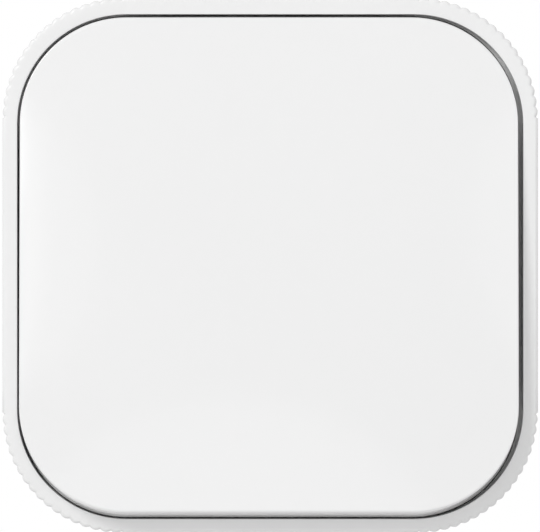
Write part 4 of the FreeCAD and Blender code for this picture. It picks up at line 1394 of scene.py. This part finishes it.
@dataclass
class Studio:
    """The camera, the lamps, the sky and the floor.

    Attributes:
        distance: From the camera to the hood's rim, in metres.
        view_width: The width that the camera sees at the rim, in metres.
        side: How far the camera lies to the right of the middle, in metres.
        rise: How far it lies above the middle.
        ambient: The light that the face gets from the sky.
        front_share: How much stronger the sky is in front and behind than at the sides.
        key_share: How much of the light on the face comes from the key lamp.
        key_direction: Where the key lamp stands, per metre in front of the switch.
        key_distance: How far the key lamp is from the switch, in metres.
        key_size: The width of the key lamp, in metres.
        floor_drop: How far the floor lies below the middle, in metres.
        floor_radius: The radius of the floor, in metres.
        panel_distance: How far the panels are from the switch, in metres.
        sensor: The width of the camera's sensor, in millimetres.
        clip: The nearest and the furthest that the camera sees, in metres.
        floor_rings: How many rings of faces the floor has.
        floor_sides: How many sides its rim has.
        floor_tone: How pale it is as the object's light meets it.
        floor_seen: How pale it is as the camera sees it.
        floor_roughness: How rough it is.
        fade: Where it begins and ends to turn white, as shares of its radius.
        panels: The panels.
    """

    distance: float = 0.8
    view_width: float = 0.06652
    side: float = -0.00002
    rise: float = -0.00007
    ambient: float = 0.764
    front_share: float = 0.46
    key_share: float = 0.24
    key_direction: tuple[float, float] = (-0.68, 0.7)
    key_distance: float = 3.0
    key_size: float = 0.85
    floor_drop: float = 0.12
    floor_radius: float = 1.5
    panel_distance: float = 1.2
    sensor: float = 36.0
    clip: tuple[float, float] = (0.01, 20.0)
    floor_rings: int = 8
    floor_sides: int = 64
    floor_tone: float = 0.8
    floor_seen: float = 0.86
    floor_roughness: float = 0.9
    fade: tuple[float, float] = (0.3, 0.9)
    panels: tuple[Panel, ...] = (
        Panel("left edge panel", -8.35, 11.4, 1.8, 4.4, 2.2),
        Panel("left panel", -7.76, 8.7, 1.9, 8.4, 1.05),
        Panel("left screen", -8.35, 8.5, 6.4, 8.6, 0.42),
        Panel("right screen", 8.6, 9.03, 5.0, 8.8, 0.42),
        Panel("lower screen", -1.06, -1.1, 12.4, 10.2, 0.46),
    )

    def build(self) -> None:
        """Make the whole studio."""
        self.camera()
        self.sky()
        self.key_lamp()
        self.face_lamps()
        self.floor()
        bpy.context.scene.view_settings.view_transform = "Standard"

    def camera(self) -> None:
        """Put the camera straight in front."""
        data = bpy.data.cameras.new("camera")
        data.sensor_width = self.sensor
        data.lens = data.sensor_width * self.distance / self.view_width
        data.clip_start, data.clip_end = self.clip
        camera = bpy.data.objects.new("camera", data)
        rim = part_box("hood")[0].y
        camera.location = (self.side, rim - self.distance, self.rise)
        camera.rotation_euler = (math.pi / 2, 0.0, 0.0)
        bpy.context.scene.collection.objects.link(camera)
        bpy.context.scene.camera = camera

    def sky(self) -> None:
        """Soft light from all round, weaker from the sides, which camera and gloss see white."""
        world = bpy.data.worlds.new("sky")
        world.use_nodes = True
        tree = NodeTree(world.node_tree)
        tree.nodes.clear()
        path = tree.add("ShaderNodeLightPath").outputs
        seen = path["Is Camera Ray"]
        for kind in ("Is Glossy Ray", "Is Transmission Ray"):
            seen = tree.math("MAXIMUM", seen, path[kind])
        place = tree.add("ShaderNodeTexCoord").outputs["Generated"]
        along_y = tree.add("ShaderNodeSeparateXYZ", Vector=place).outputs["Y"]
        sides = self.ambient - self.front_share / 2
        front = tree.add("ShaderNodeMapRange", Value=tree.math("MULTIPLY", along_y, along_y),
                         To_Min=sides, To_Max=sides + self.front_share)
        strength = tree.add("ShaderNodeMapRange", Value=seen, To_Min=front.outputs["Result"],
                            To_Max=1.0)
        background = tree.add("ShaderNodeBackground", Color=(1, 1, 1, 1),
                              Strength=strength.outputs["Result"])
        tree.add("ShaderNodeOutputWorld", Surface=background.outputs[0])
        bpy.context.scene.world = world

    def lamp(self, name: str, place: Vector, size: tuple[float, float],
             power: float) -> bpy.types.AreaLight:
        """An area lamp that looks at the middle of the face.

        Args:
            name: The lamp's name.
            place: Where it stands, in metres from the middle of the face.
            size: Its width and height, in metres.
            power: Its power in watts.

        Returns:
            The lamp's light.
        """
        data = bpy.data.lights.new(name, "AREA")
        data.shape = "RECTANGLE"
        data.size, data.size_y = size
        data.energy = power
        lamp = bpy.data.objects.new(name, data)
        lamp.location = place + Vector((0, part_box("hood")[0].y, 0))
        lamp.rotation_euler = (-place).to_track_quat("-Z", "Y").to_euler()
        bpy.context.scene.collection.objects.link(lamp)
        return data

    def key_lamp(self) -> None:
        """The lamp from the upper left, which casts the rocker's soft shadow."""
        side, rise = self.key_direction
        place = Vector((side, -1.0, rise)).normalized() * self.key_distance
        slant = -place.y / place.length
        power = self.key_share * math.pi ** 2 * place.length_squared / slant
        self.lamp("key", place, (self.key_size, self.key_size), power)

    def face_lamps(self) -> None:
        """The panels, whose mirror images brighten the face near its edges."""
        far = self.panel_distance
        for panel in self.panels:
            place = Vector((math.tan(math.radians(panel.turn)), -1.0,
                            math.tan(math.radians(panel.rise)))).normalized() * far
            size = (math.radians(panel.wide) * far, math.radians(panel.high) * far)
            power = panel.glow * math.pi * size[0] * size[1] * math.pi / 4
            self.lamp(panel.name, place, size, power).shape = "ELLIPSE"

    def floor(self) -> None:
        """A pale floor far below, which fades into the white backdrop."""
        shape = bmesh.new()
        turns = [math.tau * side / self.floor_sides for side in range(self.floor_sides)]
        rings = []
        for step in range(1, self.floor_rings + 1):
            radius = self.floor_radius * step / self.floor_rings
            rings.append([shape.verts.new((radius * math.cos(turn), radius * math.sin(turn),
                                           -self.floor_drop)) for turn in turns])
        shape.faces.new(rings[0])
        for row, after in zip(rings, rings[1:]):
            for side in range(self.floor_sides):
                beside = (side + 1) % self.floor_sides
                shape.faces.new((row[side], after[side], after[beside], row[beside]))
        floor = mesh_object("floor", shape)
        floor.data.materials.append(self.floor_material())

    def floor_material(self) -> bpy.types.Material:
        """Make a matt pale finish, plain white towards the floor's rim and clear from below.

        Returns:
            The material.
        """
        tree = ShaderTree("floor")
        seen = tree.add("ShaderNodeLightPath").outputs["Is Camera Ray"]
        tone = tree.mix(seen, [self.floor_tone] * 3, [self.floor_seen] * 3)
        tree.feed(tree.shader.inputs["Base Color"], tone)
        tree.feed(tree.shader.inputs["Roughness"], self.floor_roughness)
        flat = tree.step("ShaderNodeVectorMath", "MULTIPLY", tree.place, (1, 1, 0))
        far = tree.add("ShaderNodeVectorMath", {"operation": "LENGTH"}, Vector=flat)
        start, end = (self.floor_radius * share for share in self.fade)
        fade = tree.add("ShaderNodeMapRange", Value=far.outputs["Value"], From_Min=start,
                        From_Max=end)
        share = tree.math("MULTIPLY", fade.outputs["Result"], seen)
        white = tree.add("ShaderNodeEmission").outputs[0]
        blend = tree.blend(share, tree.shader.outputs[0], white)
        below = tree.add("ShaderNodeNewGeometry").outputs["Backfacing"]
        clear = tree.add("ShaderNodeBsdfTransparent").outputs[0]
        tree.feed(tree.nodes["Material Output"].inputs["Surface"],
                  tree.blend(below, blend, clear))
        return tree.material


def main() -> None:
    """Build the switch and its studio."""
    logging.basicConfig(level=logging.INFO, format="%(name)s: %(message)s")
    Studio().build()
    palette = Palette(FINISHES)
    hood = Hood()
    for piece in (hood.build(palette), RockerCover().build(palette, hood.opening),
                  *Shells().build(palette), CoilSpring().build(palette)):
        LOG.info("built %s with %d faces", piece.name, len(piece.data.polygons))
    Mechanism().dress(palette)


if __name__ == "__main__":
    main()
